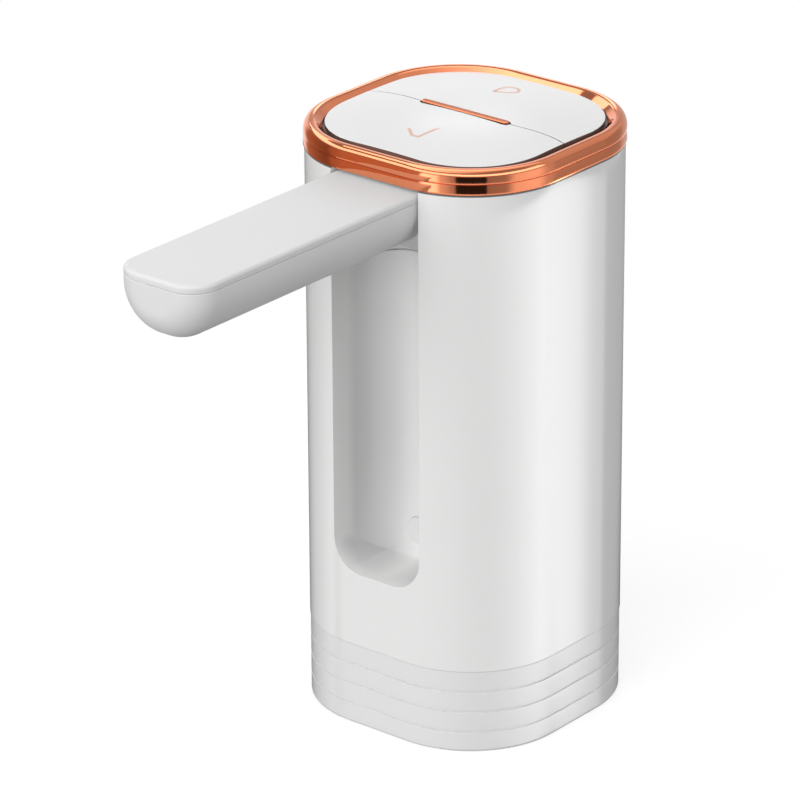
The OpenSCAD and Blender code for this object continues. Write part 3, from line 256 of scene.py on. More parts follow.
def shade_group():
    """Painted shade: a darker colour laid over a finish where little light reaches."""
    tree, given, result = new_group(
        "deep_shade",
        [("Colour", "NodeSocketColor", (1, 1, 1, 1)), ("Tint", "NodeSocketColor", (0.5, 0.5, 0.5, 1)),
         ("Amount", "NodeSocketFloat", 0.0)],
        [("Colour", "NodeSocketColor")])
    tree.links.new(add_mix(tree, given["Amount"], given["Colour"], given["Tint"]), result["Colour"])
    return tree


SURFACE = surface_group()
STREAKS = streak_group()
SHADE = shade_group()


# Finishes


MOULD_RELIEF = 0.5
METAL_RELIEF = 0.35
POLISH_RELIEF = 0.3


def add_effect(tree, group, values):
    effect = tree.nodes.new("ShaderNodeGroup")
    effect.node_tree = group
    for label, value in values.items():
        feed(tree, effect.inputs[label], value)
    return effect.outputs


def finish(name, group, values, relief_depth, relief, **shader_values):
    """A material: a shared group gives colour, roughness and relief, the shader's plain values are set on it."""
    material = bpy.data.materials.new(name)
    material.use_nodes = True
    tree = material.node_tree
    shader = tree.nodes["Principled BSDF"]
    for label, value in shader_values.items():
        shader.inputs[label.replace("_", " ")].default_value = value
    effect = add_effect(tree, group, values)
    tree.links.new(effect["Colour"], shader.inputs["Base Color"])
    tree.links.new(effect["Roughness"], shader.inputs["Roughness"])
    bump = tree.nodes.new("ShaderNodeBump")
    bump.inputs["Distance"].default_value = relief_depth
    bump.inputs["Strength"].default_value = relief
    tree.links.new(effect["Height"], bump.inputs["Height"])
    tree.links.new(bump.outputs["Normal"], shader.inputs["Normal"])
    return material


def colours(colour, deepen):
    deep = tuple(c * deepen for c in colour)
    return {"Colour": colour + (1,), "Deep Colour": deep + (1,)}


def moulded(name, colour, deepen, roughness, drift, grain, depth, patch=60.0, **shader_values):
    """Moulded plastic, rubber or coating: an even colour that drifts a little, over a fine grain."""
    values = {**colours(colour, deepen), "Roughness": roughness, "Roughness Drift": drift,
              "Patch Scale": patch, "Grain Scale": grain}
    return finish(name, SURFACE, values, depth, MOULD_RELIEF, **shader_values)


def metal(name, colour, deepen, roughness, drift, streaks, depth):
    """Bare metal with fine marks and a few stains."""
    values = {**colours(colour, deepen), "Roughness": roughness, "Roughness Drift": drift, "Streak Scale": streaks}
    return finish(name, STREAKS, values, depth, METAL_RELIEF, Metallic=1.0)


COPPER = {
    "Colour": (0.90, 0.30, 0.15, 1), "Deep Colour": (0.86, 0.275, 0.135, 1), "Roughness": 0.07,
    "Roughness Drift": 0.08, "Patch Scale": 90, "Grain Scale": 1800}

# By the record's slots: colour, how deep it drifts, roughness, its drift, scale of the grain or streaks, their depth
FINISHES = {
    "white_shell": moulded("glossy_white_shell", (0.85, 0.85, 0.845), 0.985, 0.12, 0.05, 900, 0.004 * MM),
    "white_satin": moulded("satin_white", (0.745, 0.745, 0.745), 0.98, 0.5, 0.12, 3200, 0.02 * MM,
                           Specular_IOR_Level=0.3),
    "key_white": moulded("key_white", (0.865, 0.865, 0.87), 0.985, 0.2, 0.08, 1500, 0.006 * MM),
    "copper_trim": finish("polished_copper", SURFACE, COPPER, 0.004 * MM, POLISH_RELIEF, Metallic=1.0),
    "inner_plastic": moulded("inner_plastic", (0.78, 0.78, 0.77), 0.95, 0.5, 0.15, 2600, 0.02 * MM),
    "dark_plastic": moulded("dark_plastic", (0.035, 0.035, 0.038), 0.7, 0.45, 0.2, 2600, 0.02 * MM),
    "silicone": moulded("milky_silicone", (0.72, 0.74, 0.75), 0.95, 0.38, 0.15, 1800, 0.015 * MM),
    "rubber_dark": moulded("black_rubber", (0.02, 0.02, 0.02), 0.6, 0.65, 0.2, 3000, 0.03 * MM),
    "steel": metal("plain_steel", (0.62, 0.62, 0.64), 0.85, 0.28, 0.2, 900, 0.004 * MM),
    "brass": metal("plain_brass", (0.72, 0.52, 0.22), 0.85, 0.28, 0.2, 900, 0.004 * MM),
    "copper_wire": metal("enamelled_wire", (0.60, 0.24, 0.10), 0.75, 0.3, 0.2, 2400, 0.03 * MM),
    "magnet": moulded("sintered_ferrite", (0.05, 0.05, 0.053), 0.75, 0.6, 0.2, 4000, 0.04 * MM),
    "board_green": moulded("solder_mask", (0.015, 0.12, 0.05), 0.7, 0.3, 0.15, 1600, 0.02 * MM, patch=400),
    "cell_wrap": moulded("shrink_wrap", (0.05, 0.18, 0.34), 0.85, 0.3, 0.15, 700, 0.03 * MM),
    "lead_red": moulded("lead_insulation", (0.42, 0.02, 0.02), 0.85, 0.42, 0.15, 2200, 0.015 * MM),
}
COLLAR_WHITE = moulded("collar_white", (0.81, 0.81, 0.81), 0.98, 0.22, 0.1, 2400, 0.01 * MM)
PRINT = moulded("copper_print", (0.80, 0.50, 0.40), 0.96, 0.3, 0.1, 3000, 0.004 * MM)


def dress_frame():
    """Gives every node of the frame the finish of its slot in the record."""
    for part in frame["record"]["subparts"]:
        data = nodes[part["node"]].data
        data.materials.clear()
        data.materials.append(FINISHES[part["material_slot"]])


# Painted shade where little light reaches: pairs are where it starts and where it is full


RECESS_HALF = spout_hi.x + 0.5 * MM
RECESS_WALL = (RECESS_HALF + 0.2 * MM, RECESS_HALF - 0.8 * MM)
RECESS_CORNER = (-3 * MM, RECESS_HALF)
RECESS_DEPTH_Y = (-HALF_W + 0.3 * MM, -HALF_W + 7 * MM)
RECESS_LOW_Z = (118 * MM, 70 * MM)
FRONT_Y = -10 * MM
# Painted shade deep in the recess, and more of it low down
RECESS_SHADE_COLOUR = (0.71, 0.71, 0.71, 1)
RECESS_LOW_SHADE_COLOUR = (0.6, 0.6, 0.6, 1)
# Painted shadow line close under the ring, where its overhang would shade the shell
UNDER_RING_Z = (ring_lo.z - 0.55 * MM, ring_lo.z - 0.2 * MM)
UNDER_RING_SHADOW_COLOUR = (0.12, 0.11, 0.11, 1)
# Painted shade on the bar's sides
BAR_SIDE_Z = (bar_hi.z - 0.14 * MM, bar_hi.z - 0.3 * MM)
BAR_ONLY_Z = ring_hi.z + 0.05 * MM
BAR_SIDE_SHADE_COLOUR = (0.25, 0.075, 0.035, 1)
# Painted shade in the crevice round the keys, warmed brown like light off the copper ring
KEY_SHADE_MARK = "upright"
KEY_SIDE = (0.2, 0.8)
KEY_SIDE_SHADE_COLOUR = (0.12, 0.07, 0.06, 1)


def shade(tree, amount, shade_colour):
    """Lays painted shade over a finish by a socket that runs from 0 to 1."""
    base = tree.nodes["Principled BSDF"].inputs["Base Color"]
    values = {"Colour": base.links[0].from_socket, "Tint": shade_colour, "Amount": amount}
    tree.links.new(add_effect(tree, SHADE, values)["Colour"], base)


def shade_shell():
    """Painted shade: darkens the shell deep in the spout's recess, more so low down and in its corners, and paints a
    shadow line close under the ring.
    """
    tree = FINISHES["white_shell"].node_tree
    x, y, z = coordinates(tree)
    across = add_math(tree, "ABSOLUTE", x)
    depth = product(tree, add_range(tree, y, *RECESS_DEPTH_Y), add_range(tree, across, *RECESS_WALL))
    corner = product(tree, add_math(tree, "LESS_THAN", y, FRONT_Y), add_range(tree, across, *RECESS_CORNER))
    recess = product(tree, depth, corner)
    shade(tree, recess, RECESS_SHADE_COLOUR)
    shade(tree, product(tree, recess, add_range(tree, z, *RECESS_LOW_Z)), RECESS_LOW_SHADE_COLOUR)
    shade(tree, add_range(tree, z, *UNDER_RING_Z), UNDER_RING_SHADOW_COLOUR)


def shade_bar():
    """Painted shade: darkens the sides of the bar, which stands higher than the ring."""
    tree = FINISHES["copper_trim"].node_tree
    z = coordinates(tree)["Z"]
    side = product(tree, add_range(tree, z, *BAR_SIDE_Z), add_math(tree, "GREATER_THAN", z, BAR_ONLY_Z))
    shade(tree, side, BAR_SIDE_SHADE_COLOUR)


def shade_keys():
    """Painted shade: darkens the keys' upright sides and all below their rim, by the mark laid on them."""
    tree = FINISHES["key_white"].node_tree
    mark = tree.nodes.new("ShaderNodeAttribute")
    mark.attribute_name = KEY_SHADE_MARK
    shade(tree, add_range(tree, mark.outputs["Fac"], *KEY_SIDE), KEY_SIDE_SHADE_COLOUR)


# Mesh helpers


def merged_copy(node):
    """A copy of a node's mesh with its loose triangles joined and its flats made whole."""
    shape = bmesh.new()
    shape.from_mesh(nodes[node].data)
    bmesh.ops.remove_doubles(shape, verts=shape.verts, dist=WELD)
    bmesh.ops.dissolve_limit(shape, angle_limit=FLAT_ANGLE, verts=shape.verts, edges=shape.edges)
    return shape


def sharp_edges(shape, where):
    """Sharp edges whose middle passes the test."""
    found = []
    for edge in shape.edges:
        if len(edge.link_faces) == 2 and edge.calc_face_angle() > CREASE_ANGLE:
            if where((edge.verts[0].co + edge.verts[1].co) / 2):
                found.append(edge)
    return found


def fillet(shape, edges, width, steps=FILLET_STEPS):
    bmesh.ops.bevel(shape, geom=edges, offset=width, offset_type="OFFSET", segments=steps, profile=0.5,
                    affect="EDGES", clamp_overlap=True, material=-1)


def only(kind, geom):
    """The vertices, edges or faces in an operator's result."""
    return [g for g in geom if isinstance(g, kind)]


def finished_mesh(name, shape):
    mesh = bpy.data.meshes.new(name)
    shape.to_mesh(mesh)
    shape.free()
    return mesh


def make_piece(name, shape, body, slot, replaced=(), material=None):
    """Turns a finished bmesh into a piece: smooth faces, marked creases, face-weighted normals."""
    for face in shape.faces:
        face.smooth = True
    for edge in shape.edges:
        edge.smooth = len(edge.link_faces) == 2 and edge.calc_face_angle() < CREASE_ANGLE
    mesh = finished_mesh(name, shape)
    mesh.materials.append(material or FINISHES[slot])
    piece = add_object(name, mesh)
    weighted = piece.modifiers.new("face_weighted", "WEIGHTED_NORMAL")
    weighted.keep_sharp = True
    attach(piece, body)
    if replaced:
        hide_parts(*replaced)
    return piece


def eased_skin(name, node, body, slot, width, where, steps=FILLET_STEPS):
    """A node's own shape with the edges that pass the test eased."""
    shape = merged_copy(node)
    fillet(shape, sharp_edges(shape, where), width, steps)
    make_piece(name, shape, body, slot, [node])


# Body and base


LIP_FILLET = 0.55 * MM
RIM_FILLET = 0.55 * MM
PORT_FILLET = 0.35 * MM
SEAM_FILLET = 0.25 * MM
SEAM_STEPS = 3
FACE_DEPTH = 1.2 * MM
FACE_END = 1 * MM
SHELL_RIM_IN = 0.2 * MM
GROOVE_FILLET = 0.12 * MM
GROOVE_STEPS = 2
GROOVE_LIP_IN = 0.3 * MM
FOOT_FILLET = 0.7 * MM
FOOT_IN = 0.5 * MM
BUMPER_FILLET = 0.3 * MM


def plan_reach(p):
    """How far a point lies outside the body's rounded-square plan."""
    dx, dy = max(abs(p.x) - FLAT_HALF, 0), max(abs(p.y) - FLAT_HALF, 0)
    if dx and dy:
        return sqrt(dx * dx + dy * dy) - CORNER_R
    return max(dx, dy) - CORNER_R


def body_skin():
    """The shell, with its recess lips, charging opening, lower rim and upper rim eased."""
    shape = merged_copy("body_shell")
    foot, head = shell_lo.z + FACE_END, ring_lo.z - FACE_END
    front, back = -HALF_W + FACE_DEPTH, HALF_W - FACE_DEPTH
    fillet(shape, sharp_edges(shape, lambda p: p.y < front and p.z > foot), LIP_FILLET)
    fillet(shape, sharp_edges(shape, lambda p: p.y > back and foot < p.z < head), PORT_FILLET)
    low, high = shell_lo.z + PICK, shell_hi.z - PICK
    fillet(shape, sharp_edges(shape, lambda p: p.z < low and plan_reach(p) > -SHELL_RIM_IN), SEAM_FILLET, SEAM_STEPS)
    fillet(shape, sharp_edges(shape, lambda p: p.z > high and plan_reach(p) > -SHELL_RIM_IN), RIM_FILLET)
    make_piece("body_skin", shape, "housing", "white_shell", ["body_shell"])


def collar_skin():
    """The base collar, with its foot and its grooves' lips eased."""
    shape = merged_copy("base_collar")
    foot, rim = collar_lo.z + PICK, collar_hi.z - PICK
    fillet(shape, sharp_edges(shape, lambda p: p.z < foot and plan_reach(p) > -FOOT_IN), FOOT_FILLET)
    lips = sharp_edges(shape, lambda p: foot < p.z < rim and plan_reach(p) > -GROOVE_LIP_IN)
    fillet(shape, lips, GROOVE_FILLET, GROOVE_STEPS)
    make_piece("collar_skin", shape, "housing", "white_satin", ["base_collar"], COLLAR_WHITE)


def bumper_pad():
    """The disc in the recess, eased round its face."""
    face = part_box("recess_bumper")[0].y + PICK
    eased_skin("bumper_pad", "recess_bumper", "housing", "white_satin", BUMPER_FILLET, lambda p: p.y < face)


# Pieces seen from below and behind


SLEEVE_FILLET = 0.45 * MM
SPIGOT_FILLET = 0.4 * MM
NOZZLE_FILLET = 0.25 * MM
SOCKET_FILLET = 0.12 * MM


def small_skins():
    """The neck sleeve's mouth, the spigot's tip, the nozzle's rim and the charging socket's rim."""
    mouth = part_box("neck_sleeve")[0].z + PICK
    eased_skin("sleeve_skin", "neck_sleeve", "housing", "silicone", SLEEVE_FILLET, lambda p: p.z < mouth)
    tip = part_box("intake_spigot")[0].z + PICK
    eased_skin("spigot_skin", "intake_spigot", "housing", "inner_plastic", SPIGOT_FILLET, lambda p: p.z < tip)
    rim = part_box("outlet_nozzle")[0].z + PICK
    eased_skin("nozzle_skin", "outlet_nozzle", "spout", "inner_plastic", NOZZLE_FILLET, lambda p: p.z < rim)
    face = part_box("charge_socket")[1].y - PICK
    eased_skin("socket_skin", "charge_socket", "housing", "steel", SOCKET_FILLET, lambda p: p.y > face)


# Ring and bar


RING_TURN_STEPS = 32
RING_PROUD = ring_hi.x - HALF_W
RING_H = ring_hi.z - ring_lo.z
SHADOW_GAP_IN = 0.3 * MM
SHADOW_GAP_H = 0.22 * MM
BAND_BOW_R = 9.4 * MM
BAND_LEANS = [radians(lean) for lean in (-2, 1, 4, 7, 10, 13)]
GROOVE_IN = 0.55 * MM
GROOVE_H = 0.24 * MM
ROLL_WIDE_H = 3.5 * MM
CREST_IN = 1.55 * MM
CREST_STEPS = 14
CREST_FLAT = 1.0 * MM
CREST_FALL = 0.09 * MM
LIP_IN = 4.3 * MM
LIP_H = 4.75 * MM
LIP_EDGE = 0.5 * MM
SEAT_IN = 1.0 * MM
CREASE_FILLET = 0.07 * MM
CREST_FILLET = 0.4 * MM
BAR_FILLET = 0.4 * MM
BAR_STEPS = 6


def ring_section():
    """Ring section as (reach out from the shell, height): shadow gap, bowed band, groove, roll, inner slope."""
    low = SHADOW_GAP_H - BAND_BOW_R * sin(BAND_LEANS[0])
    band = [(RING_PROUD - BAND_BOW_R * (1 - cos(lean)), low + BAND_BOW_R * sin(lean)) for lean in BAND_LEANS]
    groove_z = band[-1][1]
    groove = [(-GROOVE_IN, groove_z), (-GROOVE_IN, groove_z + GROOVE_H), (RING_PROUD, groove_z + GROOVE_H)]
    turns = [pi / 2 * step / CREST_STEPS for step in range(CREST_STEPS + 1)]
    reach, rise = RING_PROUD + CREST_IN, RING_H - ROLL_WIDE_H
    crown = [(reach * cos(turn) - CREST_IN, ROLL_WIDE_H + rise * sin(turn)) for turn in turns]
    foot = [(-SEAT_IN, 0.0), (-SHADOW_GAP_IN, 0.0), (-SHADOW_GAP_IN, SHADOW_GAP_H)]
    inside = [(-CREST_IN - CREST_FLAT, RING_H - CREST_FALL), (-LIP_IN, LIP_H), (-LIP_IN, LIP_H - LIP_EDGE),
              (-SEAT_IN, LIP_H - LIP_EDGE)]
    eased = {band[0]: CREASE_FILLET, groove[-1]: CREASE_FILLET, inside[0]: CREST_FILLET}
    return foot + band + groove + crown + inside, eased


def ring_line(shape, point):
    """Edges of the swept ring that run along one point of its section."""
    reach, rise = point
    found = []
    for edge in shape.edges:
        if all(abs(v.co.z - ring_lo.z - rise) < WELD and abs(plan_reach(v.co) - reach) < WELD for v in edge.verts):
            found.append(edge)
    return found


def ring_skin():
    """The ring's section turned round the four corners and drawn along the four sides, then its lines eased."""
    shape = bmesh.new()
    points, eased = ring_section()
    section = [shape.verts.new((FLAT_HALF, -HALF_W - out, ring_lo.z + rise)) for out, rise in points]
    edges = [shape.edges.new((a, b)) for a, b in zip(section, section[1:] + section[:1])]
    for quarter in range(4):
        turn = quarter * pi / 2
        centre = FLAT_HALF * (heading(turn) + heading(turn + pi / 2))
        swept = bmesh.ops.spin(shape, geom=edges, cent=centre, axis=UP, angle=pi / 2, steps=RING_TURN_STEPS)
        edges = only(bmesh.types.BMEdge, swept["geom_last"])
        drawn = bmesh.ops.extrude_edge_only(shape, edges=edges)["geom"]
        along = 2 * FLAT_HALF * heading(turn + pi)
        bmesh.ops.translate(shape, verts=only(bmesh.types.BMVert, drawn), vec=along)
        edges = only(bmesh.types.BMEdge, drawn)
    bmesh.ops.remove_doubles(shape, verts=shape.verts, dist=WELD)
    bmesh.ops.recalc_face_normals(shape, faces=shape.faces)
    for point, width in eased.items():
        fillet(shape, ring_line(shape, point), width)
    ring = make_piece("ring_skin", shape, "housing", "copper_trim", ["top_ring"])
    ring.visible_diffuse = False


def bar_skin():
    """The bar between the keys, rounded over its top."""
    top = bar_hi.z - PICK
    eased_skin("bar_skin", "accent_bar", "housing", "copper_trim", BAR_FILLET, lambda p: p.z > top, BAR_STEPS)


# Keys


KEY_INSET = 5 * MM
KEY_FALL = 1.41 * MM
DOME_R = (HALF_W - KEY_INSET) ** 2 / 2 / KEY_FALL + KEY_FALL / 2
CROWN_Z = ring_hi.z + 1.1 * MM
KEY_EDGE_FILLET = 0.38 * MM
KEY_GRID = 2.5 * MM
KEY_TOP_SLACK = 0.6 * MM
KEY_TOP_FACING = 0.97


def dome_z(x, y):
    """Height of the keys' dome."""
    return CROWN_Z - DOME_R + sqrt(DOME_R * DOME_R - x * x - y * y)


def key_top(shape):
    """Faces of a key's top."""
    floor = dome_z(HALF_W, 0) - KEY_TOP_SLACK
    return [f for f in shape.faces if f.normal.z > KEY_TOP_FACING and f.calc_center_median().z > floor]


def mark_key_shade(shape):
    """Marks each point of a key by how upright its rim stands, and all below the rim, for the painted shade round it.
    """
    shape.normal_update()
    mark = shape.verts.layers.float.new(KEY_SHADE_MARK)
    for vert in shape.verts:
        below = dome_z(vert.co.x, vert.co.y) - vert.co.z
        vert[mark] = 1.0 if below > KEY_EDGE_FILLET / 2 else 1 - vert.normal.z


def key_skin(name, node, body):
    """A key with its rim eased and its domed top made smooth."""
    shape = merged_copy(node)
    top = set(key_top(shape))
    inner = {e for f in top for e in f.edges if all(g in top for g in e.link_faces)}
    bmesh.ops.dissolve_edges(shape, edges=list(inner), use_verts=False)
    rim = {e for f in key_top(shape) for e in f.edges if e.calc_face_angle() > CREASE_ANGLE}
    fillet(shape, list(rim), KEY_EDGE_FILLET)
    top = [max(key_top(shape), key=lambda f: f.calc_area())]
    lo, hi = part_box(node)
    for axis in (Vector((1, 0, 0)), Vector((0, 1, 0))):
        low, high = lo.dot(axis), hi.dot(axis)
        for step in range(1, int((high - low) / KEY_GRID) + 1):
            geom = list({g for f in top for g in (f, *f.edges, *f.verts)})
            cut = bmesh.ops.bisect_plane(shape, geom=geom, dist=WELD, plane_co=axis * (low + step * KEY_GRID),
                                         plane_no=axis)
            top = only(bmesh.types.BMFace, cut["geom"])
    for vert in {v for f in top for v in f.verts}:
        vert.co.z = dome_z(vert.co.x, vert.co.y)
    mark_key_shade(shape)
    make_piece(name, shape, body, "key_white", [node])


def key_springs(name, node):
    """A key's return springs, as a piece with a mesh of its own; the real springs shorten as the key goes down."""
    coils = make_piece(name, merged_copy(node), "housing", "steel", [node])
    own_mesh(coils)


# Prints on the keys: a drop and a cup


PRINT_T = 0.03 * MM
PRINT_LINE = 0.85 * MM
PRINT_CUTS = 2
DROP_R = 3.6 * MM
DROP_STEPS = 36
DROP_TURN = radians(150)
DROP_PLACE = (-2.6 * MM, 19.2 * MM)
CUP_CORNERS = [(-4.0, -0.2), (-0.2, -3.7), (2.4, -3.7), (3.0, 4.2)]
CUP_PLACE = (-0.5 * MM, -16.5 * MM)


def print_piece(name, outline, place, body, open_edge=None):
    """A thin outlined print that follows the key's dome; the outline is a flat capped shape round the origin."""
    face = next(iter(outline.faces))
    bmesh.ops.inset_individual(outline, faces=[face], thickness=PRINT_LINE, use_even_offset=True)
    left_out = [face]
    if open_edge:
        left_out += [f for f in open_edge.link_faces if f is not face]
    bmesh.ops.delete(outline, geom=left_out, context="FACES")
    bmesh.ops.subdivide_edges(outline, edges=outline.edges, cuts=PRINT_CUTS, use_grid_fill=True)
    bmesh.ops.translate(outline, verts=outline.verts, vec=(*place, 0))
    for vert in outline.verts:
        vert.co.z = dome_z(vert.co.x, vert.co.y) - PRINT_T / 2
    raised = bmesh.ops.extrude_face_region(outline, geom=list(outline.faces))["geom"]
    bmesh.ops.translate(outline, verts=only(bmesh.types.BMVert, raised), vec=PRINT_T * UP)
    bmesh.ops.recalc_face_normals(outline, faces=outline.faces)
    make_piece(name, outline, body, "copper_trim", material=PRINT)


def drop_print():
    """A drop: a circle drawn in towards its point."""
    shape = bmesh.new()
    bmesh.ops.create_circle(shape, cap_ends=True, segments=DROP_STEPS, radius=DROP_R)
    for vert in shape.verts:
        vert.co.x *= sqrt((1 - vert.co.y / DROP_R) / 2)
    bmesh.ops.rotate(shape, verts=shape.verts, cent=(0, 0, 0), matrix=Matrix.Rotation(DROP_TURN, 3, "Z"))
    print_piece("drop_print", shape, DROP_PLACE, "rear_key")


def cup_print():
    """A leaning cup, open at its mouth."""
    shape = bmesh.new()
    bmesh.ops.create_circle(shape, cap_ends=True, segments=len(CUP_CORNERS), radius=1.0)
    ring = [loop.vert for loop in next(iter(shape.faces)).loops]
    for vert, (x, y) in zip(ring, CUP_CORNERS):
        vert.co = (x * MM, y * MM, 0)
    bmesh.ops.recalc_face_normals(shape, faces=shape.faces)
    mouth = shape.edges.get((ring[-1], ring[0]))
    print_piece("cup_print", shape, CUP_PLACE, "front_key", mouth)


# Spout


LID_T = 2 * MM
LID_FILLET = 0.9 * MM
LID_STEPS = 5
SPOUT_SEAM_Z = lid_hi.z - LID_T


def at_seam(p):
    return abs(p.z - SPOUT_SEAM_Z) < PICK


def spout_skin():
    """The spout's trough, with the rim under its lid eased."""
    eased_skin("spout_skin", "spout_shell", "spout", "white_satin", SEAM_FILLET, at_seam, SEAM_STEPS)


def lid_skin():
    """The spout's lid, rounded over its top edge and eased along the seam below."""
    shape = merged_copy("spout_lid")
    top = lid_hi.z - PICK
    fillet(shape, sharp_edges(shape, lambda p: p.z > top), LID_FILLET, LID_STEPS)
    fillet(shape, sharp_edges(shape, at_seam), SEAM_FILLET, SEAM_STEPS)
    make_piece("lid_skin", shape, "spout", "white_satin", ["spout_lid"])


# Stage: cards that only reflections see


CARD_STEPS = 96
CARD_HALF = 0.5
CARD_BLEND = 0.4
FULL_TURN = 360
RAMP_MIDDLE = 0.5
WARM_CUT = (0.0, 0.42, 0.62)  # what full warmth takes from red, green and blue
FACED = (0.186, 0.208)  # slant to the view at which the close card starts to dim and has dimmed
TURNED_AWAY = 0.08


def stage_glow(name, shape):
    """A stage piece that only shows in reflections; returns it with its glowing material's tree and glow node."""
    mesh = finished_mesh(name, shape)
    card = add_object(name, mesh)
    material = bpy.data.materials.new(name)
    material.use_nodes = True
    tree = material.node_tree
    tree.nodes.clear()
    glow = tree.nodes.new("ShaderNodeEmission")
    tree.links.new(glow.outputs[0], tree.nodes.new("ShaderNodeOutputMaterial").inputs["Surface"])
    mesh.materials.append(material)
    card.visible_camera = card.visible_diffuse = card.visible_shadow = card.visible_transmission = False
    return card, tree, glow


def flat_card(name, azimuth, elevation, distance, side, near_end, far_end):
    """A flat square card facing the object, whose glow changes from one end to the other."""
    shape = bmesh.new()
    bmesh.ops.create_grid(shape, x_segments=1, y_segments=1, size=CARD_HALF)
    card, tree, glow = stage_glow(name, shape)
    aim(card, radians(azimuth), radians(elevation), distance, front="Z")
    card.scale = (side, side, 1)
    strength = add_range(tree, coordinates(tree)["X"], -CARD_BLEND, CARD_BLEND, near_end, far_end)
    tree.links.new(strength, glow.inputs["Strength"])


def azimuth_ramp(tree, place, stops):
    """Colour by azimuth round the object; stops are (degrees, brightness, warmth if any), by rising azimuth."""
    azimuth = add_math(tree, "ARCTAN2", place["X"], add_math(tree, "MULTIPLY", place["Y"], -1.0))
    ramp = tree.nodes.new("ShaderNodeValToRGB")
    ramp.color_ramp.interpolation = "EASE"
    points = ramp.color_ramp.elements
    while len(points) < len(stops):
        points.new(RAMP_MIDDLE)
    for point, (degrees, grey, *warmth) in zip(points, stops):
        point.position = degrees / FULL_TURN + RAMP_MIDDLE
        point.color = (*(grey * (1 - cut * sum(warmth)) for cut in WARM_CUT), 1)
    share = add_math(tree, "DIVIDE", azimuth, 2 * pi)
    tree.links.new(add_math(tree, "ADD", share, RAMP_MIDDLE), ramp.inputs["Fac"])
    return ramp.outputs["Color"]


def curved_card(name, radius, heights, span, strength, stops, high_stops=None, climb=None, faced=None):
    """An upright card bent round the object; its glow changes by azimuth, and by height and slant where asked."""
    shape = bmesh.new()
    start, end = span
    rim = radius * heading(radians(start))
    edge = shape.edges.new([shape.verts.new(rim + z * UP) for z in heights])
    bmesh.ops.spin(shape, geom=[edge], cent=(0, 0, 0), axis=UP, angle=radians(end - start), steps=CARD_STEPS)
    bmesh.ops.remove_doubles(shape, verts=shape.verts, dist=WELD)
    card, tree, glow = stage_glow(name, shape)
    place = coordinates(tree)
    colour = azimuth_ramp(tree, place, stops)
    if high_stops:
        colour = add_mix(tree, add_range(tree, place["Z"], *climb), colour, azimuth_ramp(tree, place, high_stops))
    tree.links.new(colour, glow.inputs["Color"])
    if faced:
        slant = tree.nodes.new("ShaderNodeLayerWeight").outputs["Facing"]
        strength = add_range(tree, slant, *faced, strength, strength * TURNED_AWAY)
    feed(tree, glow.inputs["Strength"], strength)


# Stage: world, floor and lamps


WORLD_FILL_LOW = 0.22
WORLD_FILL_HIGH = 0.5
FILL_TURN = 0.3
FLOOR_R = 3.0
FLOOR_STEPS = 96
FLOOR_GAP = 0.02 * MM
FLOOR_GREY = 0.45
FLOOR_LIFT = 0.62
SHADOW_NEAR = 0.12
SHADOW_FAR = 0.35
SOFTBOX_DISTANCE = 1.5


def seen_white(tree):
    """1 for rays that show the white background itself."""
    path = tree.nodes.new("ShaderNodeLightPath").outputs
    shown = add_math(tree, "ADD", path["Is Camera Ray"], path["Is Glossy Ray"])
    return add_math(tree, "MINIMUM", add_math(tree, "ADD", shown, path["Is Transmission Ray"]), 1.0)


def white_world():
    """White where it is seen; the light that it gives is weaker from below."""
    world = bpy.data.worlds.new("white_room")
    bpy.context.scene.world = world
    world.use_nodes = True
    tree = world.node_tree
    back = tree.nodes["Background"]
    rise = coordinates(tree, "Generated")["Z"]
    fill = add_range(tree, rise, -FILL_TURN, FILL_TURN, WORLD_FILL_LOW, WORLD_FILL_HIGH, "LINEAR")
    strength = add_range(tree, seen_white(tree), 0.0, 1.0, fill, 1.0, "LINEAR")
    tree.links.new(strength, back.inputs["Strength"])
    back.inputs["Color"].default_value = (1, 1, 1, 1)


def mix_shaders(tree, factor, a, b):
    node = tree.nodes.new("ShaderNodeMixShader")
    for socket, value in zip(node.inputs, (factor, a, b)):
        tree.links.new(value, socket)
    return node.outputs[0]


def pale_floor():
    """A pale floor that keeps the shadow close to the object, fades to white further out and is clear from below."""
    shape = bmesh.new()
    bmesh.ops.create_circle(shape, cap_ends=True, segments=FLOOR_STEPS, radius=FLOOR_R)
    mesh = finished_mesh("floor", shape)
    floor = add_object("floor", mesh)
    floor.location.z = cad_box[0][2] - FLOOR_GAP
    material = bpy.data.materials.new("pale_floor")
    material.use_nodes = True
    tree = material.node_tree
    tree.nodes.clear()
    paint = tree.nodes.new("ShaderNodeBsdfDiffuse")
    paint.inputs["Color"].default_value = (FLOOR_GREY, FLOOR_GREY, FLOOR_GREY, 1)
    lift = tree.nodes.new("ShaderNodeEmission")
    lift.inputs["Strength"].default_value = FLOOR_LIFT
    near = tree.nodes.new("ShaderNodeAddShader")
    tree.links.new(paint.outputs[0], near.inputs[0])
    tree.links.new(lift.outputs[0], near.inputs[1])
    white = tree.nodes.new("ShaderNodeEmission")
    reach = tree.nodes.new("ShaderNodeVectorMath")
    reach.operation = "LENGTH"
    tree.links.new(tree.nodes.new("ShaderNodeTexCoord").outputs["Object"], reach.inputs[0])
    fade = add_range(tree, reach.outputs["Value"], SHADOW_NEAR, SHADOW_FAR)
    shown = mix_shaders(tree, fade, near.outputs[0], white.outputs[0])
    above = mix_shaders(tree, seen_white(tree), paint.outputs[0], shown)
    clear = tree.nodes.new("ShaderNodeBsdfTransparent").outputs[0]
    both = mix_shaders(tree, tree.nodes.new("ShaderNodeNewGeometry").outputs["Backfacing"], above, clear)
    tree.links.new(both, tree.nodes.new("ShaderNodeOutputMaterial").inputs["Surface"])
    mesh.materials.append(material)
    floor.visible_diffuse = floor.visible_glossy = False


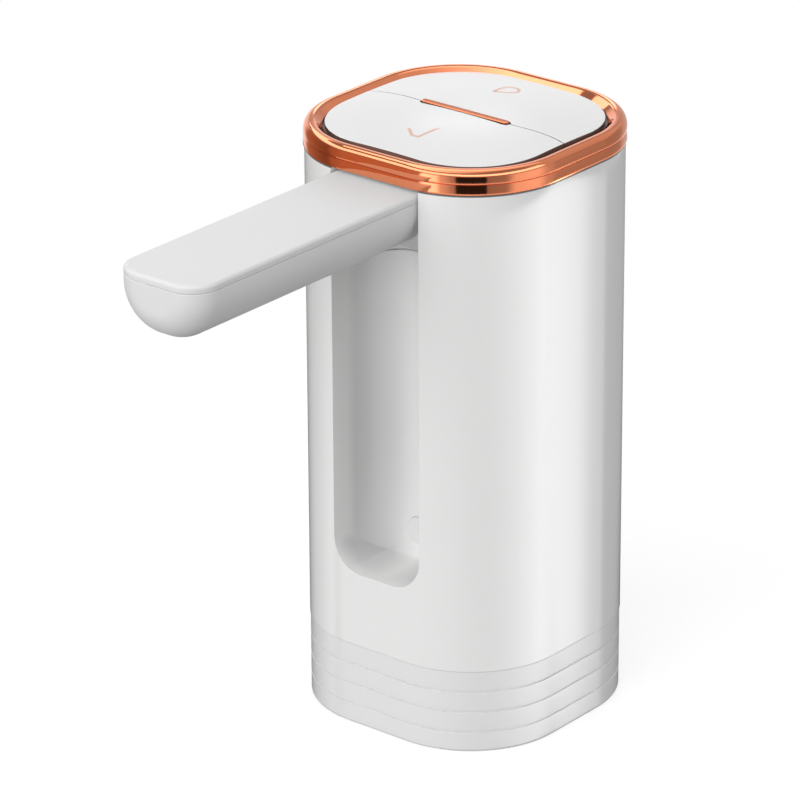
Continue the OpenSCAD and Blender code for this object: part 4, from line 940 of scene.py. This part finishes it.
def softbox(name, azimuth, elevation, side, power):
    """A soft lamp that reflections don't see."""
    data = bpy.data.lights.new(name, "AREA")
    data.shape = "RECTANGLE"
    data.size = data.size_y = side
    data.energy = power
    lamp = add_object(name, data)
    aim(lamp, radians(azimuth), radians(elevation), SOFTBOX_DISTANCE)
    lamp.visible_glossy = False


# Glow by azimuth of the card close round the body's back half, and of the far one that the ring mirrors, low and high
NEAR_STOPS = [(-180, 0.03), (-112, 0.02), (-62, 0.03), (-42, 0.14), (50, 0.18), (60, 0.3), (70, 0.52), (84, 0.82),
              (98, 1.0), (114, 0.84), (121, 0.74), (126, 0.26), (132, 0.07), (180, 0.05)]
FAR_STOPS = [(-180, 0.3), (-158, 0.3), (-148, 0.5), (-112, 0.5), (-95, 0.2, 1), (-58, 0.12, 1), (-48, 0.2, 1),
             (-26, 0.3, 1), (-16, 0.24, 0.5), (-11, 1.2), (2, 1.0), (8, 0.42), (22, 0.22), (23.5, 0.012),
             (53.5, 0.012), (55, 0.16), (72, 0.18), (86, 0.5), (108, 0.56), (126, 0.3), (141, 0.2), (165, 0.2),
             (180, 0.3)]
HIGH_STOPS = [(-180, 0.34), (-162, 0.26), (-146, 0.22), (-105, 0.16), (-40, 0.18), (0, 0.2), (24, 0.16), (54, 0.16),
              (100, 0.2), (130, 0.3), (180, 0.34)]
EVEN = [(-180, 1.0), (180, 1.0)]
NEAR_GLOW = 7.6
FAR_GLOW = 2.1


def studio():
    """The white room with its floor, lamps and reflection cards."""
    white_world()
    pale_floor()
    softbox("front_softbox", azimuth=2, elevation=24, side=2.0, power=21.8)
    softbox("right_softbox", azimuth=110, elevation=15, side=1.0, power=2.8)
    softbox("top_softbox", azimuth=20, elevation=80, side=1.2, power=2.6)
    softbox("back_softbox", azimuth=212, elevation=20, side=1.0, power=7)
    curved_card("near_card", radius=0.078, heights=(-0.15, 0.125), span=(50, 318), strength=NEAR_GLOW,
                stops=NEAR_STOPS, faced=FACED)
    curved_card("far_card", radius=0.6, heights=(-0.06, 0.9), span=(-180, 180), strength=FAR_GLOW, stops=FAR_STOPS,
                high_stops=HIGH_STOPS, climb=(0.28, 0.4))
    curved_card("left_card", radius=0.62, heights=(-0.4, -0.05), span=(-150, -46), strength=FAR_GLOW, stops=FAR_STOPS)
    curved_card("halo_card", radius=0.56, heights=(0.40, 0.62), span=(-125, 125), strength=2.4, stops=EVEN)
    curved_card("tail_card", radius=0.56, heights=(0.36, 0.46), span=(-130, -118), strength=2.0, stops=EVEN)
    flat_card("ceiling_card", azimuth=0, elevation=90, distance=1.3, side=2.2, near_end=0.25, far_end=2.6)
    curved_card("bar_card", radius=0.55, heights=(0.366, 0.402), span=(-145, -138), strength=2.6, stops=EVEN)


add_camera()
bpy.context.scene.view_settings.view_transform = "Standard"
dress_frame()
shade_shell()
shade_bar()
shade_keys()
body_skin()
collar_skin()
bumper_pad()
small_skins()
ring_skin()
bar_skin()
key_skin("front_key_skin", "front_key", "front_key")
key_skin("rear_key_skin", "rear_key", "rear_key")
key_springs("front_key_coils", "front_key_springs")
key_springs("rear_key_coils", "rear_key_springs")
drop_print()
cup_print()
spout_skin()
lid_skin()
studio()
